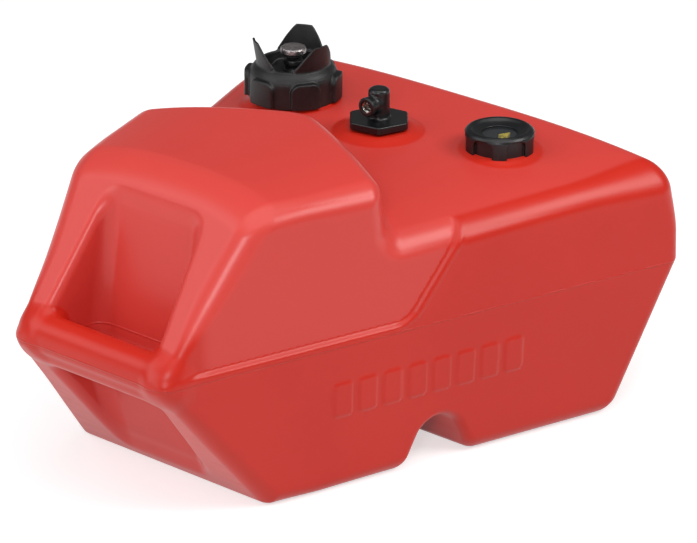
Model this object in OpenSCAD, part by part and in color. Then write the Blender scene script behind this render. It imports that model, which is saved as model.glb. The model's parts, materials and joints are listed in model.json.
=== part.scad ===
// Portable outboard fuel tank: a wedge-shaped blow-moulded tank with a raised front,
// a hand grip at the nose, a vented filler cap, a fuel pickup and a direct-reading gauge.
// Millimetres. The nose points to -X, up is +Z, and the origin is under the middle of the base.

/* [Tank body] */
// Length from the nose to the rear wall
tank_len = 480; // [440:5:540]
// Width across the nose at the parting line
nose_w = 161; // [145:1:185]
// Width across the rear wall at the parting line
rear_w = 456; // [400:4:480]
// Height of the parting line, where the tank is widest
parting_z = 127; // [116:1:136]
// Height of the deck's edges at the rear wall
deck_z = 212.5; // [205:0.5:221]
// Height of the deck's edges at the raised front's side corners
deck_front_z = 203; // [198:1:209]
// Rise of the deck's middle above its edges at the rear wall
rear_crown = 9; // [4:0.5:11]
// Rise of the deck's middle above its edges at the raised front
deck_crown = 15; // [8:0.5:16]
// Height of the raised front at its edges
hump_z = 253; // [244:1:266]
// Rise of the raised front's middle above its edges
hump_crown = 10; // [4:0.5:14]
// Wall thickness
wall = 4.5; // [3:0.25:6]
// Setback of the base's front edge from the nose
base_front = 99; // [90:1:112]
// Setback of the base's rear edge from the rear wall
base_rear = 58; // [50:1:78]
// Inward lean of the side walls above the parting line, degrees
lean_up = 2; // [1:0.25:4]
// Inward lean of the side walls below the parting line, degrees
lean_down = 1.4; // [0.6:0.2:4]
// Setback of the raised front's top edge from the nose
hump_front = 93; // [88:1:104]
// Distance from the nose to the raised front's side corners
hump_side = 203; // [190:1:212]
// Distance from the nose to the rear point of the raised front
hump_apex = 273; // [255:1:278]
// Depth of the set-in side panels
panel_step = 3.25; // [2:0.25:5]
// Height of the panels' ledge above the parting line
ledge_rise = 6; // [4:0.5:10]
// Distance from the nose to the ledge's bend
ledge_bend = 219; // [205:1:235]
// Distance from the nose to where the ledge passes the height of the deck's rear edges
ledge_top = 279; // [269:1:297]
// Edge radius at the base
base_r = 13; // [9:1:18]
// Edge radius of the rear parting edge
rear_r = 10; // [6.5:0.5:13]
// Edge radius of the deck
deck_r = 15; // [11:1:17]
// Edge radius of the raised front
hump_r = 14; // [10:1:18]

/* [Hand grip] */
// Radius of the nose bar
bar_r = 15; // [13:0.5:16]
// Half height of the bar
bar_half = 20; // [18:0.5:22]
// Depth of the upper finger recess at its floor, behind the nose
grip_depth = 75; // [66:1:80]
// Depth of the lower finger recess at its roof, behind the nose
low_depth = 62; // [54:1:68]
// Half thickness of the web behind the bar
web_half = 5; // [4:0.5:7]
// Half width of the recesses at their back
grip_half = 54; // [48:1:57]
// Half width of the recesses at the nose
grip_wide = 65; // [58:1:66]
// Distance from the recesses' far edges to the raised front's top and to the base
grip_margin = 14; // [10:1:20]

/* [Strap channel] */
// Distance from the nose to the channel's middle
channel_x = 251; // [240:1:262]
// Width of the channel's mouth
channel_w = 64; // [56:1:72]
// Height of the channel
channel_h = 41; // [34:1:44]
// Radius of the channel's upper corners
channel_r = 11; // [7:0.5:12]
// Lean of the channel's sides, degrees
channel_lean = 24; // [16:1:28]
// Radius of the channel's lips
lip_r = 8; // [5:0.5:10]

/* [Filler] */
// Distance of the filler's axis from the rear wall
fill_back = 111; // [104:1:118]
// Place of the filler to the side
fill_y = 107; // [100:1:116]
// Height of the filler's boss above the deck's rear edges
fill_boss = 9; // [7.5:0.5:12.5]
// Outer radius of the filler neck
neck_r = 28; // [26:0.5:29]
// Wall of the filler neck
neck_t = 4; // [3:0.25:5]
// Height of the neck above its boss
neck_h = 15; // [13:0.5:18]
// Radius of the cap's skirt
cap_r = 38; // [37:0.5:40]
// Wall of the cap
cap_t = 3; // [2.5:0.25:3.5]
// Height of the cap from the skirt's foot to the rim
cap_h = 28; // [26:0.5:32]
// Radius of the cap's rim
rim_r = 31; // [29:0.5:33]
// Height of the straight part of the skirt
skirt_h = 16; // [13:0.5:18]
// Radius over the grip lugs
lug_r = 42; // [40.5:0.5:44]
// Width of a grip lug
lug_w = 26; // [20:0.5:30]
// Height of a grip lug
lug_h = 19; // [16:0.5:21]
// Height of the three wings above the rim
wing_h = 22; // [16:0.5:26]
// Width of a wing at its foot
wing_w = 43; // [34:1:46]
// Width of a wing at its tip
wing_tip = 15; // [10:0.5:20]
// Outward lean of the wings, degrees
wing_lean = 9; // [5:0.5:14]

/* [Vent screw] */
// Radius of the vent screw's head
vent_head_r = 11; // [9:0.5:13]
// Thickness of the head
vent_head_h = 6; // [4:0.5:7]
// Radius of the screw's stem
vent_stem_r = 2.4; // [2:0.1:2.8]
// Height of the vent post above the cap's well
post_h = 16; // [13:0.5:18]
// Radius of the vent post
post_r = 7; // [6:0.25:8]
// Thickness of the vent washer
washer_t = 2.5; // [1.5:0.25:3.5]

/* [Pickup] */
// Distance of the pickup's axis from the rear wall
pick_back = 125; // [118:1:128]
// Height of the pickup's boss above the deck's rear edges
pick_boss = 11; // [10:0.5:14.5]
// Radius over the corners of the hexagonal flange
hex_r = 24; // [21:0.5:26]
// Thickness of the flange
hex_t = 6.6; // [5:0.2:8]
// Radius of the upright
upright_r = 9; // [8:0.25:10]
// Height of the upright above the flange
upright_h = 26; // [23:0.5:30]
// Height of the fuel port above the flange
port_z = 13; // [11:0.5:15]
// Length of the fuel port from the upright's axis
port_len = 17; // [14:0.5:20]
// Outer radius of the fuel port
port_r = 7.2; // [6.5:0.1:8]
// Bore radius of the fuel port
port_bore = 5; // [4:0.1:5.5]
// Depth of the fuel port's bore
port_depth = 14; // [11:0.5:16]
// Radius of the threaded spigot
spigot_r = 10; // [9:0.25:11]
// Outer radius of the brass insert
insert_r = 14; // [12.5:0.25:15]
// Outer radius of the dip tube
tube_r = 5; // [4:0.25:6]
// Wall of the dip tube
tube_t = 1.2; // [0.8:0.1:1.6]
// Gap between the strainer and the tank's floor
floor_gap = 6; // [4:0.5:12]
// Length of the strainer
strainer_h = 26; // [20:1:34]

/* [Gauge] */
// Distance of the gauge's axis from the rear wall
gauge_back = 89; // [83:1:96]
// Place of the gauge to the side
gauge_y = -100; // [-108:1:-92]
// Height of the gauge's boss above the deck's rear edges
gauge_boss = 6.5; // [5.5:0.5:9.5]
// Outer radius of the gauge neck
gneck_r = 22; // [21:0.25:23]
// Wall of the gauge neck
gneck_t = 3.4; // [2.6:0.2:3.6]
// Height of the gauge neck above its boss
gneck_h = 8; // [6.5:0.5:10]
// Radius over the gauge cap's lobes
gcap_r = 29.5; // [28.5:0.5:31]
// Depth of the scallops between the lobes
scallop = 2.6; // [1.6:0.2:3]
// Height of the gauge cap
gcap_h = 17; // [16:0.5:20]
// Radius of the gauge's window
window_r = 15; // [13:0.25:16]
// Radius of the dished mouth round the window
dish_r = 24; // [21:0.5:25]
// Thickness of the lens
lens_t = 2; // [1.5:0.25:2.5]
// Radius of the float
float_r = 16.6; // [14:0.2:17]
// Height of the float
float_h = 24; // [18:1:30]
// Travel of the float from empty to full
float_travel = 130; // [110:1:135]
// Turn of the pointer from empty to full, degrees
sweep = 240; // [180:5:270]
// Spacing of the two guide rods
rod_gap = 21; // [18:0.5:22]
// Radius of a guide rod
rod_r = 1.5; // [1.2:0.1:1.8]
// Width of the twisted strip
strip_w = 6; // [5:0.25:6.5]
// Thickness of the twisted strip
strip_t = 0.8; // [0.6:0.1:1]

/* [Hidden] */
$fn = 72;

red = [0.80, 0.14, 0.12];
black = [0.09, 0.09, 0.10];
rubber = [0.05, 0.05, 0.05];
steel = [0.70, 0.69, 0.68];
brass = [0.78, 0.62, 0.30];
cream = [0.90, 0.87, 0.78];

ball_fn = 32;       // facets round an edge ball, a multiple of four so that its poles are true
inner_fn = 16;      // facets round the balls of the hollow
skin = 0.4;         // how far a hidden block lies inside the block that covers it
run_gap = 0.4;      // clearance between a cap and its neck
slip = 0.08;        // radial clearance of a turning or sliding stem
over = 1;           // how far a cutter runs past the face it cuts

nose_x = -tank_len / 2;
rear_x = tank_len / 2;
side_angle = atan((rear_w - nose_w) / 2 / tank_len);

// ---- planes, each [outward unit normal, distance from the origin] ----
function plane(n, p) = [n / norm(n), n * p / norm(n)];
function inset(pl, t) = [pl[0], pl[1] - t];
function meet(a, b, c) =
  (a[1] * cross(b[0], c[0]) + b[1] * cross(c[0], a[0]) + c[1] * cross(a[0], b[0]))
  / (a[0] * cross(b[0], c[0]));
// Centre and radius of the ball that touches three planes from inside
function seat(a, b, c, r) = [meet(inset(a, r), inset(b, r), inset(c, r)), r];

parting_at = [nose_x, nose_w / 2, parting_z];
function side_up(s) = plane([-sin(side_angle), s * cos(side_angle), tan(lean_up)],
  [parting_at.x, s * parting_at.y, parting_z]);
function side_down(s) = plane([-sin(side_angle), s * cos(side_angle), -tan(lean_down)],
  [parting_at.x, s * parting_at.y, parting_z]);
base_plane = plane([0, 0, -1], [0, 0, 0]);
function level(z) = plane([0, 0, 1], [0, 0, z]);
front_down = plane([-parting_z, 0, -base_front], [nose_x, 0, parting_z]);
front_face = plane([-1, 0, 0], [nose_x, 0, 0]);
front_up = plane([parting_z - hump_z, 0, hump_front], [nose_x, 0, parting_z]);
rear_down = plane([parting_z, 0, -base_rear], [rear_x, 0, parting_z]);
rear_up = plane([1, 0, 0], [rear_x, 0, 0]);
hump_draft = 6;     // lean of the raised front's rear walls, degrees
hump_half = nose_w / 2 + hump_side * tan(side_angle) - panel_step
  - (hump_z - parting_z) * tan(lean_up) / cos(side_angle);
function hump_back(s) = plane(
  [hump_half, s * (hump_apex - hump_side), tan(hump_draft) * norm([hump_half, hump_apex - hump_side])],
  [nose_x + hump_apex, 0, hump_z]);
deck_from = plane([-1, 0, 0], [nose_x + hump_side - 2 * hump_r, 0, 0]);
deck_run = tank_len - hump_side;
// The plane through the deck's edges, which rises to the rear
deck_plane = plane([deck_front_z - deck_z, 0, deck_run], [rear_x, 0, deck_z]);
function crown_at(x) = rear_crown + (deck_crown - rear_crown) * (rear_x - x) / deck_run;

// Moves a corner ball to a share of the way across, raised by a crown of the given height, which
// falls away faster towards the edges as the power grows
function crowned(c, share, rise, power) =
  [[c[0].x, c[0].y * share, c[0].z + rise * (1 - pow(abs(share), power))], c[1]];
shares = [-1, -0.8, -0.5, 0, 0.5, 0.8, 1];
deck_power = 3;
// A crowned row of balls across the deck, between its side planes and against a cross plane
function deck_row(top, side, cross_plane) =
  let (c = seat(top, side, cross_plane, deck_r))
  [for (f = shares) crowned(c, f, crown_at(c[0].x), deck_power)];

// ---- the three blocks that make the tank's outline, drawn in by t all round for the hollow ----
function thin(c, t) = [c[0], c[1] - t];
function lower_corners() = [
  for (s = [-1, 1]) each [
    seat(base_plane, side_down(s), front_down, base_r),
    seat(base_plane, side_down(s), rear_down, base_r),
    seat(level(parting_z + bar_r), side_down(s), front_face, bar_r),
    seat(side_down(s), rear_down, rear_up, rear_r)
  ],
  each deck_row(deck_plane, side_up(1), rear_up),
  each deck_row(deck_plane, side_up(1), deck_from)
];
hump_low = plane([0, 0, -1], [0, 0, parting_z - hump_r]);
function hump_side_up(s) = inset(side_up(s), panel_step);
function hump_corners() = [
  for (s = [-1, 1]) each [
    seat(hump_low, hump_side_up(s), front_up, hump_r),
    seat(hump_low, hump_side_up(s), hump_back(s), hump_r)
  ],
  seat(hump_low, hump_back(1), hump_back(-1), hump_r),
  for (f = shares) crowned(seat(level(hump_z), hump_side_up(1), front_up, hump_r), f, hump_crown * 0.6, 2),
  for (f = [0, 0.5, 1], s = [-1, 1]) ridge_ball(f, s)
];
// A ball on the raised front's rear edge, from its point (0) to its side corner (1)
function ridge_ball(f, s) =
  let (corner = seat(level(hump_z), hump_side_up(s), hump_back(s), hump_r)[0],
    apex = seat(level(hump_z), hump_back(1), hump_back(-1), hump_r)[0])
  [apex + (corner - apex) * f + [0, 0, hump_crown * (1 - f * f)], hump_r];
strip_low = plane([0, 0, -1], [0, 0, parting_z - 2 * deck_r]);
strip_front = plane([-1, 0, 0], [nose_x + hump_side - 3 * hump_r, 0, 0]);
strip_rear = plane([1, 0, 0], [nose_x + ledge_top + 3 * deck_r, 0, 0]);
function strip_side(s) = inset(side_up(s), panel_step + skin);
function strip_corners() = [
  for (e = [strip_front, strip_rear]) each [
    for (s = [-1, 1]) seat(strip_low, strip_side(s), e, deck_r),
    each deck_row(inset(deck_plane, skin), strip_side(1), e)
  ]
];

module ball(r, facets) {
  rotate_extrude($fn = facets)
    polygon([for (i = [0:facets / 2]) r * [sin(i * 360 / facets), cos(i * 360 / facets)]]);
}
module block(corners, t, facets) {
  hull()
    for (c = corners)
      translate(c[0]) ball(c[1] - t, facets);
}

// Extrudes an outline drawn in X and Z across the whole tank, or to a half width
module across(half) {
  rotate([90, 0, 0])
    translate([0, 0, -half])
      linear_extrude(2 * half) children();
}

// The space above the ledge, which the set-in panels leave free
module above_ledge(drop) {
  far = tank_len;
  low = parting_z + ledge_rise - drop;
  across(rear_w)
    polygon([
      [nose_x - far, low], [nose_x + ledge_bend + drop, low],
      [nose_x + ledge_top + drop, deck_z - drop], [nose_x + ledge_top + drop, hump_z + far],
      [nose_x - far, hump_z + far]
    ]);
}

module tank_blocks(t, facets) {
  difference() {
    block(lower_corners(), t, facets);
    above_ledge(t > 0 ? t : 0);
  }
  block(hump_corners(), t, facets);
  block(strip_corners(), t, facets);
}

// ---- finger recesses above and below the nose bar ----
recess_top_z = hump_z - grip_margin;
recess_top_x = hump_front * (recess_top_z - parting_z) / (hump_z - parting_z);
recess_low_x = base_front * (parting_z - grip_margin) / parting_z;
// Outline of both recesses seen from above, drawn in by their side walls' lean
module recess_plan(grow) {
  rear = hump_front + grow;
  linear_extrude(hump_z)
    for (s = [-1, 1])
      polygon([
        [nose_x - 3 * bar_r, 0], [nose_x - 3 * bar_r, s * (grip_wide + grow)], [nose_x, s * (grip_wide + grow)],
        [nose_x + rear, s * (grip_half + grow)], [nose_x + rear, 0]
      ]);
}
// side is 1 above the web and -1 below it; the far edge is where the recess leaves the tank's face
module finger_recess(side, depth, far_x, far_z, grow) {
  flat_z = parting_z + side * (web_half - grow);
  clear = 3 * bar_r;
  intersection() {
    across(nose_w)
      polygon([
        [nose_x - clear, flat_z], [nose_x + depth + grow, flat_z],
        [nose_x + far_x + grow, far_z + side * grow / 2],
        [nose_x + far_x - clear, far_z + side * clear], [nose_x - clear, far_z]
      ]);
    recess_plan(grow);
  }
}
module upper_recess(grow) { finger_recess(1, grip_depth, recess_top_x, recess_top_z, grow); }
module lower_recess(grow) { finger_recess(-1, low_depth, recess_low_x, grip_margin, grow); }
module grip_bar() {
  end_y = nose_w / 2 - bar_r / cos(side_angle);
  rise = bar_half - bar_r;
  hull()
    for (y = [-end_y, end_y], z = [-rise, rise])
      translate([nose_x + bar_r, y, parting_z + z]) ball(bar_r, ball_fn);
}
// The hollow stays behind the recesses and the web between them
module grip_relief() {
  upper_recess(wall);
  lower_recess(wall);
}

// ---- strap channel under the tank ----
function arc(c, r, from, to, steps) =
  [for (i = [0:steps]) c + r * [cos(from + (to - from) * i / steps), sin(from + (to - from) * i / steps)]];
module strap_channel(grow) {
  half = channel_w / 2 + grow / cos(channel_lean);
  top = channel_h + grow;
  r = channel_r + grow;
  lip = max(lip_r - grow, 0.5);
  top_x = half - (top - r) * tan(channel_lean) - r / cos(channel_lean);
  lip_x = half - lip * tan(channel_lean) + lip / cos(channel_lean);
  translate([nose_x + channel_x, 0, 0])
    across(rear_w)
      polygon(concat(
        [[-lip_x, -over]],
        arc([-lip_x, lip], lip, -90, -channel_lean, 4),
        arc([-top_x, top - r], r, 180 - channel_lean, 90, 6),
        arc([top_x, top - r], r, 90, channel_lean, 6),
        arc([lip_x, lip], lip, 180 + channel_lean, 270, 4),
        [[lip_x, -over]]
      ));
}

// ---- bosses and necks on the deck ----
fill_x = rear_x - fill_back;
pick_x = rear_x - pick_back;
gauge_x = rear_x - gauge_back;
fill_seat = deck_z + fill_boss;
pick_seat = deck_z + pick_boss;
gauge_seat = deck_z + gauge_boss;
boss_root = 3 * wall;   // how far a boss reaches down into the deck
module at_filler() { translate([fill_x, fill_y, fill_seat]) children(); }
module at_pickup() { translate([pick_x, 0, pick_seat]) children(); }
module at_gauge() { translate([gauge_x, gauge_y, gauge_seat]) children(); }
boss_flare = 10;        // how much wider a boss is at its foot
boss_drop = 8;          // height over which a boss flares
fill_boss_r = neck_r + 7;
pick_boss_r = hex_r + 6;
gauge_boss_r = gcap_r + 3;
module boss(top_r, foot_r, rise) {
  translate([0, 0, -rise]) cylinder(r1 = foot_r, r2 = top_r, h = rise);
  translate([0, 0, -rise - wall]) cylinder(r = top_r, h = wall + over);
}
module bosses() {
  at_filler() {
    boss(fill_boss_r, fill_boss_r + boss_flare, boss_drop);
    translate([0, 0, -boss_root]) cylinder(r = neck_r, h = boss_root + neck_h);
  }
  at_pickup() {
    boss(pick_boss_r, pick_boss_r + 2 * boss_flare, boss_drop);
    translate([0, 0, -boss_root - wall]) cylinder(r = insert_r + wall, h = boss_root + wall);
  }
  at_gauge() {
    boss(gauge_boss_r, gauge_boss_r + boss_flare, boss_drop);
    translate([0, 0, -boss_root]) cylinder(r = gneck_r, h = boss_root + gneck_h);
  }
}
module neck_bores() {
  depth = boss_root + 2 * wall;
  at_filler() translate([0, 0, -depth]) cylinder(r = neck_r - neck_t, h = depth + neck_h + over);
  at_pickup() translate([0, 0, -depth]) cylinder(r = insert_r, h = depth + over);
  at_gauge() translate([0, 0, -depth]) cylinder(r = gneck_r - gneck_t, h = depth + gneck_h + over);
}

module tank_shell() {
  color(red) {
    grip_bar();
    difference() {
      union() {
        tank_blocks(0, ball_fn);
        bosses();
      }
      upper_recess(0);
      lower_recess(0);
      strap_channel(0);
      difference() {
        tank_blocks(wall, inner_fn);
        grip_relief();
        strap_channel(wall);
        hanging_bosses();
      }
      neck_bores();
    }
  }
}
// The parts of the bosses that reach down into the hollow
module hanging_bosses() {
  at_filler() translate([0, 0, -boss_root]) cylinder(r = neck_r, h = boss_root);
  at_pickup() translate([0, 0, -boss_root - wall]) cylinder(r = insert_r + wall, h = boss_root + wall);
  at_gauge() translate([0, 0, -boss_root]) cylinder(r = gneck_r, h = boss_root);
}

// ---- filler cap ----
skirt_z = 2;                          // the skirt's foot above the boss
gasket_t = 2;
roof_z = neck_h + gasket_t;           // underside of the cap's roof
well_z = roof_z + cap_t;              // floor of the well in the cap
rim_z = skirt_z + cap_h;
module filler_cap_body() {
  rotate_extrude()
    polygon(concat(
      [[cap_r - cap_t, skirt_z], [cap_r, skirt_z], [cap_r, skirt_z + skirt_h]],
      shoulder(cap_r, rim_r, skirt_z + skirt_h, rim_z),
      [[rim_r - cap_t, rim_z], [rim_r - cap_t - 1, well_z], [post_r - cap_t / 2, well_z],
        [post_r - cap_t / 2, roof_z], [cap_r - cap_t, roof_z]]
    ));
}
// A shoulder that turns in from the skirt to the rim, as a quarter of an ellipse cut short
function shoulder(r1, r2, z1, z2) =
  [for (a = [10:10:60]) [r1 - (r1 - r2) * (1 - cos(a)) / (1 - cos(60)), z1 + (z2 - z1) * sin(a) / sin(60)]];
lug_turn = -3;       // turn of the six lugs round the cap, degrees
module lug_outline() {
  translate([-lug_w / 2, 0]) square([lug_w, lug_h - lug_w / 4]);
  translate([-lug_w / 4, 0]) square([lug_w / 2, lug_h]);
  for (s = [-1, 1]) translate([s * lug_w / 4, lug_h - lug_w / 4]) circle(r = lug_w / 4);
}
module filler_lugs() {
  intersection() {
    difference() {
      translate([0, 0, skirt_z]) cylinder(r = lug_r, h = cap_h);
      translate([0, 0, skirt_z - over]) cylinder(r = cap_r - cap_t / 2, h = roof_z - skirt_z + over);
      translate([0, 0, roof_z]) cylinder(r = rim_r - cap_t / 2, h = cap_h);
    }
    for (i = [0:5])
      rotate([0, 0, 60 * i + lug_turn])
        translate([0, 0, skirt_z + 2])
          rotate([90, 0, 90]) linear_extrude(lug_r + over) lug_outline();
  }
}
wing_angles = [120, 0, -120];
wing_turn = 25;      // turn of the three wings round the cap, degrees
module filler_wings() {
  rise = wing_h + cap_t;
  run = rise * tan(wing_lean);
  thick = 2;
  intersection() {
    rotate_extrude()
      polygon([
        [rim_r - thick, rim_z - cap_t], [rim_r, rim_z - cap_t],
        [rim_r + run, rim_z - cap_t + rise], [rim_r + run - thick, rim_z - cap_t + rise]
      ]);
    for (a = wing_angles)
      rotate([0, 0, a + wing_turn])
        rotate([90, 0, 90])
          linear_extrude(2 * rim_r)
            polygon([
              [-wing_w / 2, rim_z - cap_t], [wing_w / 2, rim_z - cap_t], [wing_w / 2 - 2, rim_z + wing_h / 4],
              [wing_tip / 2 + 1.5, rim_z + wing_h - 2], [wing_tip / 2 - 1, rim_z + wing_h],
              [-wing_tip / 2 + 1, rim_z + wing_h], [-wing_tip / 2 - 1.5, rim_z + wing_h - 2],
              [-wing_w / 2 + 2, rim_z + wing_h / 4]
            ]);
  }
}
module filler_cap_shell() {
  color(black) at_filler() {
    filler_cap_body();
    filler_lugs();
    filler_wings();
  }
}
module filler_cap_liner() {
  color(black) at_filler()
    difference() {
      translate([0, 0, skirt_z + 1]) cylinder(r = cap_r - cap_t - run_gap, h = roof_z - skirt_z - 1);
      translate([0, 0, skirt_z]) cylinder(r = neck_r + run_gap, h = roof_z);
    }
}
module filler_gasket() {
  color(rubber) at_filler()
    difference() {
      translate([0, 0, neck_h]) cylinder(r = neck_r, h = gasket_t);
      translate([0, 0, neck_h - over]) cylinder(r = neck_r - neck_t, h = gasket_t + 2 * over);
    }
}

// ---- vent screw in the cap ----
post_low = roof_z - 1.5;              // foot of the post's sleeve, below the cap's roof
post_top = well_z + post_h;
clip_t = 1;
vent_rise = 3;                        // how far the screw lifts when it is opened
clip_z = post_low - vent_rise - clip_t - 0.5;
head_z = post_top + washer_t;
module vent_post() {
  color(black) at_filler()
    difference() {
      union() {
        translate([0, 0, post_low]) cylinder(r = post_r - cap_t / 2 - slip, h = well_z - post_low);
        translate([0, 0, well_z]) cylinder(r = post_r + 2, h = post_h * 0.25);
        translate([0, 0, well_z]) cylinder(r = post_r, h = post_h);
        translate([0, 0, well_z + post_h * 0.6]) cylinder(r = post_r + 1.5, h = post_h * 0.2);
      }
      translate([0, 0, post_low - over]) cylinder(r = vent_stem_r + slip, h = post_top - post_low + 2 * over);
    }
}
module vent_washer() {
  color(rubber) at_filler()
    difference() {
      translate([0, 0, post_top]) cylinder(r = post_r + 1.5, h = washer_t);
      translate([0, 0, post_top - over]) cylinder(r = vent_stem_r + slip, h = washer_t + 2 * over);
    }
}
module vent_screw() {
  color(steel) at_filler() {
    rotate_extrude()
      polygon([
        [0, clip_z - 1.5], [vent_stem_r, clip_z - 1.5], [vent_stem_r, head_z], [vent_head_r - 1, head_z],
        [vent_head_r, head_z + 1], [vent_head_r, head_z + vent_head_h - 2.2],
        [vent_head_r - 1.2, head_z + vent_head_h - 0.9], [vent_head_r / 2, head_z + vent_head_h - 0.2],
        [0, head_z + vent_head_h]
      ]);
  }
}
module vent_clip() {
  color(steel) at_filler()
    difference() {
      translate([0, 0, clip_z]) cylinder(r = post_r - cap_t / 2 - 1, h = clip_t);
      translate([0, 0, clip_z - over]) cylinder(r = vent_stem_r, h = clip_t + 2 * over);
    }
}

// ---- fuel pickup ----
hex_turn = 40;       // turn of the flange's corners round the fitting, degrees
o_ring_r = 1.2;
flange_z = 2 * o_ring_r * 0.8;
spigot_low = -boss_root - 2;
upright_z = flange_z + hex_t;
port_axis_z = upright_z + port_z;
hex_edge = 1;        // height of the bevel round the flange's top
upright_edge = 3;    // height of the bevel round the upright's top
barb_len = 14;       // length of the barb that holds the dip tube
passage_r = 2.5;
barb_r = tube_r - tube_t;
tube_top = spigot_low - 1;
tube_low = wall + floor_gap - pick_seat + strainer_h / 4;
module pickup_fitting() {
  color(black) at_pickup()
    difference() {
      union() {
        rotate([0, 0, hex_turn]) {
          translate([0, 0, flange_z]) cylinder(r = hex_r, h = hex_t - hex_edge, $fn = 6);
          translate([0, 0, upright_z - hex_edge])
            cylinder(r1 = hex_r, r2 = hex_r - 1.2 * hex_edge, h = hex_edge, $fn = 6);
        }
        translate([0, 0, spigot_low]) cylinder(r = spigot_r, h = flange_z - spigot_low + over);
        translate([0, 0, spigot_low - barb_len]) cylinder(r = barb_r, h = barb_len + over);
        translate([0, 0, upright_z - hex_t / 2]) cylinder(r = upright_r, h = upright_h - upright_edge + hex_t / 2);
        translate([0, 0, upright_z + upright_h - upright_edge])
          cylinder(r1 = upright_r, r2 = upright_r - upright_edge, h = upright_edge);
        translate([0, 0, port_axis_z]) rotate([0, -90, 0]) cylinder(r = port_r, h = port_len);
      }
      translate([0, 0, spigot_low - barb_len - over])
        cylinder(r = passage_r, h = port_axis_z - spigot_low + barb_len + over);
      translate([0, 0, port_axis_z]) rotate([0, -90, 0]) cylinder(r = passage_r, h = port_len);
      translate([-port_len + port_depth, 0, port_axis_z])
        rotate([0, -90, 0]) cylinder(r = port_bore, h = port_depth + over);
    }
}
module pickup_o_ring() {
  color(rubber) at_pickup()
    rotate_extrude()
      translate([insert_r + 2.5, flange_z / 2]) circle(r = flange_z / 2, $fn = 24);
}
module pickup_insert() {
  color(brass) at_pickup()
    difference() {
      translate([0, 0, -boss_root]) cylinder(r = insert_r, h = boss_root);
      translate([0, 0, -boss_root - over]) cylinder(r = spigot_r + slip, h = boss_root + 2 * over);
    }
}
module pickup_tube() {
  color(black) at_pickup()
    difference() {
      translate([0, 0, tube_low]) cylinder(r = tube_r, h = tube_top - tube_low);
      translate([0, 0, tube_low - over]) cylinder(r = tube_r - tube_t, h = tube_top - tube_low + 2 * over);
    }
}
module pickup_strainer() {
  foot = wall + floor_gap - pick_seat;
  color(brass) at_pickup()
    difference() {
      translate([0, 0, foot]) cylinder(r = tube_r + 2.6, h = strainer_h);
      translate([0, 0, foot + 1]) cylinder(r = tube_r + 1.4, h = strainer_h - 3);
      translate([0, 0, foot + 1]) cylinder(r = tube_r, h = strainer_h);
    }
}

// ---- fuel gauge ----
gskirt_z = 1.5;
ggasket_t = 1.5;
flange_t = 1.5;
gflange_z = gneck_h + ggasket_t;
glens_z = gflange_z + flange_t;
gweb_z = glens_z + lens_t;
gtop_z = gskirt_z + gcap_h;
housing_low = -6;
housing_r = gneck_r - gneck_t - 0.3;
cup_r = window_r + 0.5;
dial_z = housing_low + 6;
scallop_reach = 12;
module gauge_cap() {
  color(black) at_gauge()
    difference() {
      rotate_extrude()
        polygon([
          [gneck_r + run_gap, gskirt_z], [gcap_r, gskirt_z], [gcap_r, gtop_z - 3], [gcap_r - 2.2, gtop_z - 0.7],
          [gcap_r - 3.2, gtop_z], [dish_r, gtop_z], [window_r + 1, gweb_z + 1.5], [window_r, gweb_z + 1.2],
          [window_r, gweb_z], [gneck_r + run_gap, gweb_z]
        ]);
      for (i = [0:5])
        rotate([0, 0, 60 * i + scallop_turn])
          translate([gcap_r + scallop_reach - scallop, 0, gskirt_z - over])
            cylinder(r = scallop_reach, h = gcap_h - 2.5 + over);
    }
}
scallop_turn = 8;     // turn of the scallops round the cap, degrees
module gauge_gasket() {
  color(rubber) at_gauge()
    difference() {
      translate([0, 0, gneck_h]) cylinder(r = gneck_r, h = ggasket_t);
      translate([0, 0, gneck_h - over]) cylinder(r = housing_r + 0.3, h = ggasket_t + 2 * over);
    }
}
module gauge_housing() {
  color(black) at_gauge()
    difference() {
      union() {
        translate([0, 0, gflange_z]) cylinder(r = gneck_r, h = flange_t);
        translate([0, 0, housing_low]) cylinder(r = housing_r, h = glens_z - housing_low);
      }
      translate([0, 0, dial_z - 3]) cylinder(r = cup_r, h = glens_z - dial_z + 3 + over);
      translate([0, 0, housing_low - over]) cylinder(r = bush_r, h = 8);
      for (s = [-1, 1]) translate([s * rod_gap / 2, 0, housing_low - over]) cylinder(r = rod_r, h = 2 + over);
    }
}
bush_r = 3.4;
module gauge_bush() {
  color(brass) at_gauge()
    difference() {
      translate([0, 0, housing_low]) cylinder(r = bush_r, h = 3);
      translate([0, 0, housing_low - over]) cylinder(r = shaft_r + slip, h = 3 + 2 * over);
    }
}
shaft_r = 1.3;
module gauge_dial() {
  color(cream) at_gauge()
    difference() {
      translate([0, 0, dial_z - 3]) cylinder(r = cup_r - 0.2, h = 1);
      translate([0, 0, dial_z - 3 - over]) cylinder(r = bush_r, h = 1 + 2 * over);
    }
}
module gauge_lens() {
  color([0.85, 0.9, 0.92, 0.4]) at_gauge()
    translate([0, 0, glens_z]) cylinder(r = gneck_r, h = lens_t);
}
pointer_t = 1.4;
pointer_z = dial_z + 1.2;
module gauge_pointer() {
  color("gold") at_gauge()
    difference() {
      union() {
        translate([0, 0, pointer_z]) cylinder(r = 3.2, h = pointer_t);
        translate([0, 0, pointer_z])
          linear_extrude(pointer_t)
            polygon([[0, -2], [cup_r - 4, -2.4], [cup_r - 1.5, 0], [cup_r - 4, 2.4], [0, 2]]);
      }
      translate([0, 0, pointer_z - over]) cylinder(r = shaft_r, h = pointer_t + 2 * over);
    }
}
foot_z = wall + floor_gap - gauge_seat;
foot_t = 2;
strip_low_z = foot_z + foot_t + 0.3;
strip_len = housing_low - 1 - strip_low_z;
twist_per_mm = sweep / float_travel;
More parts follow.
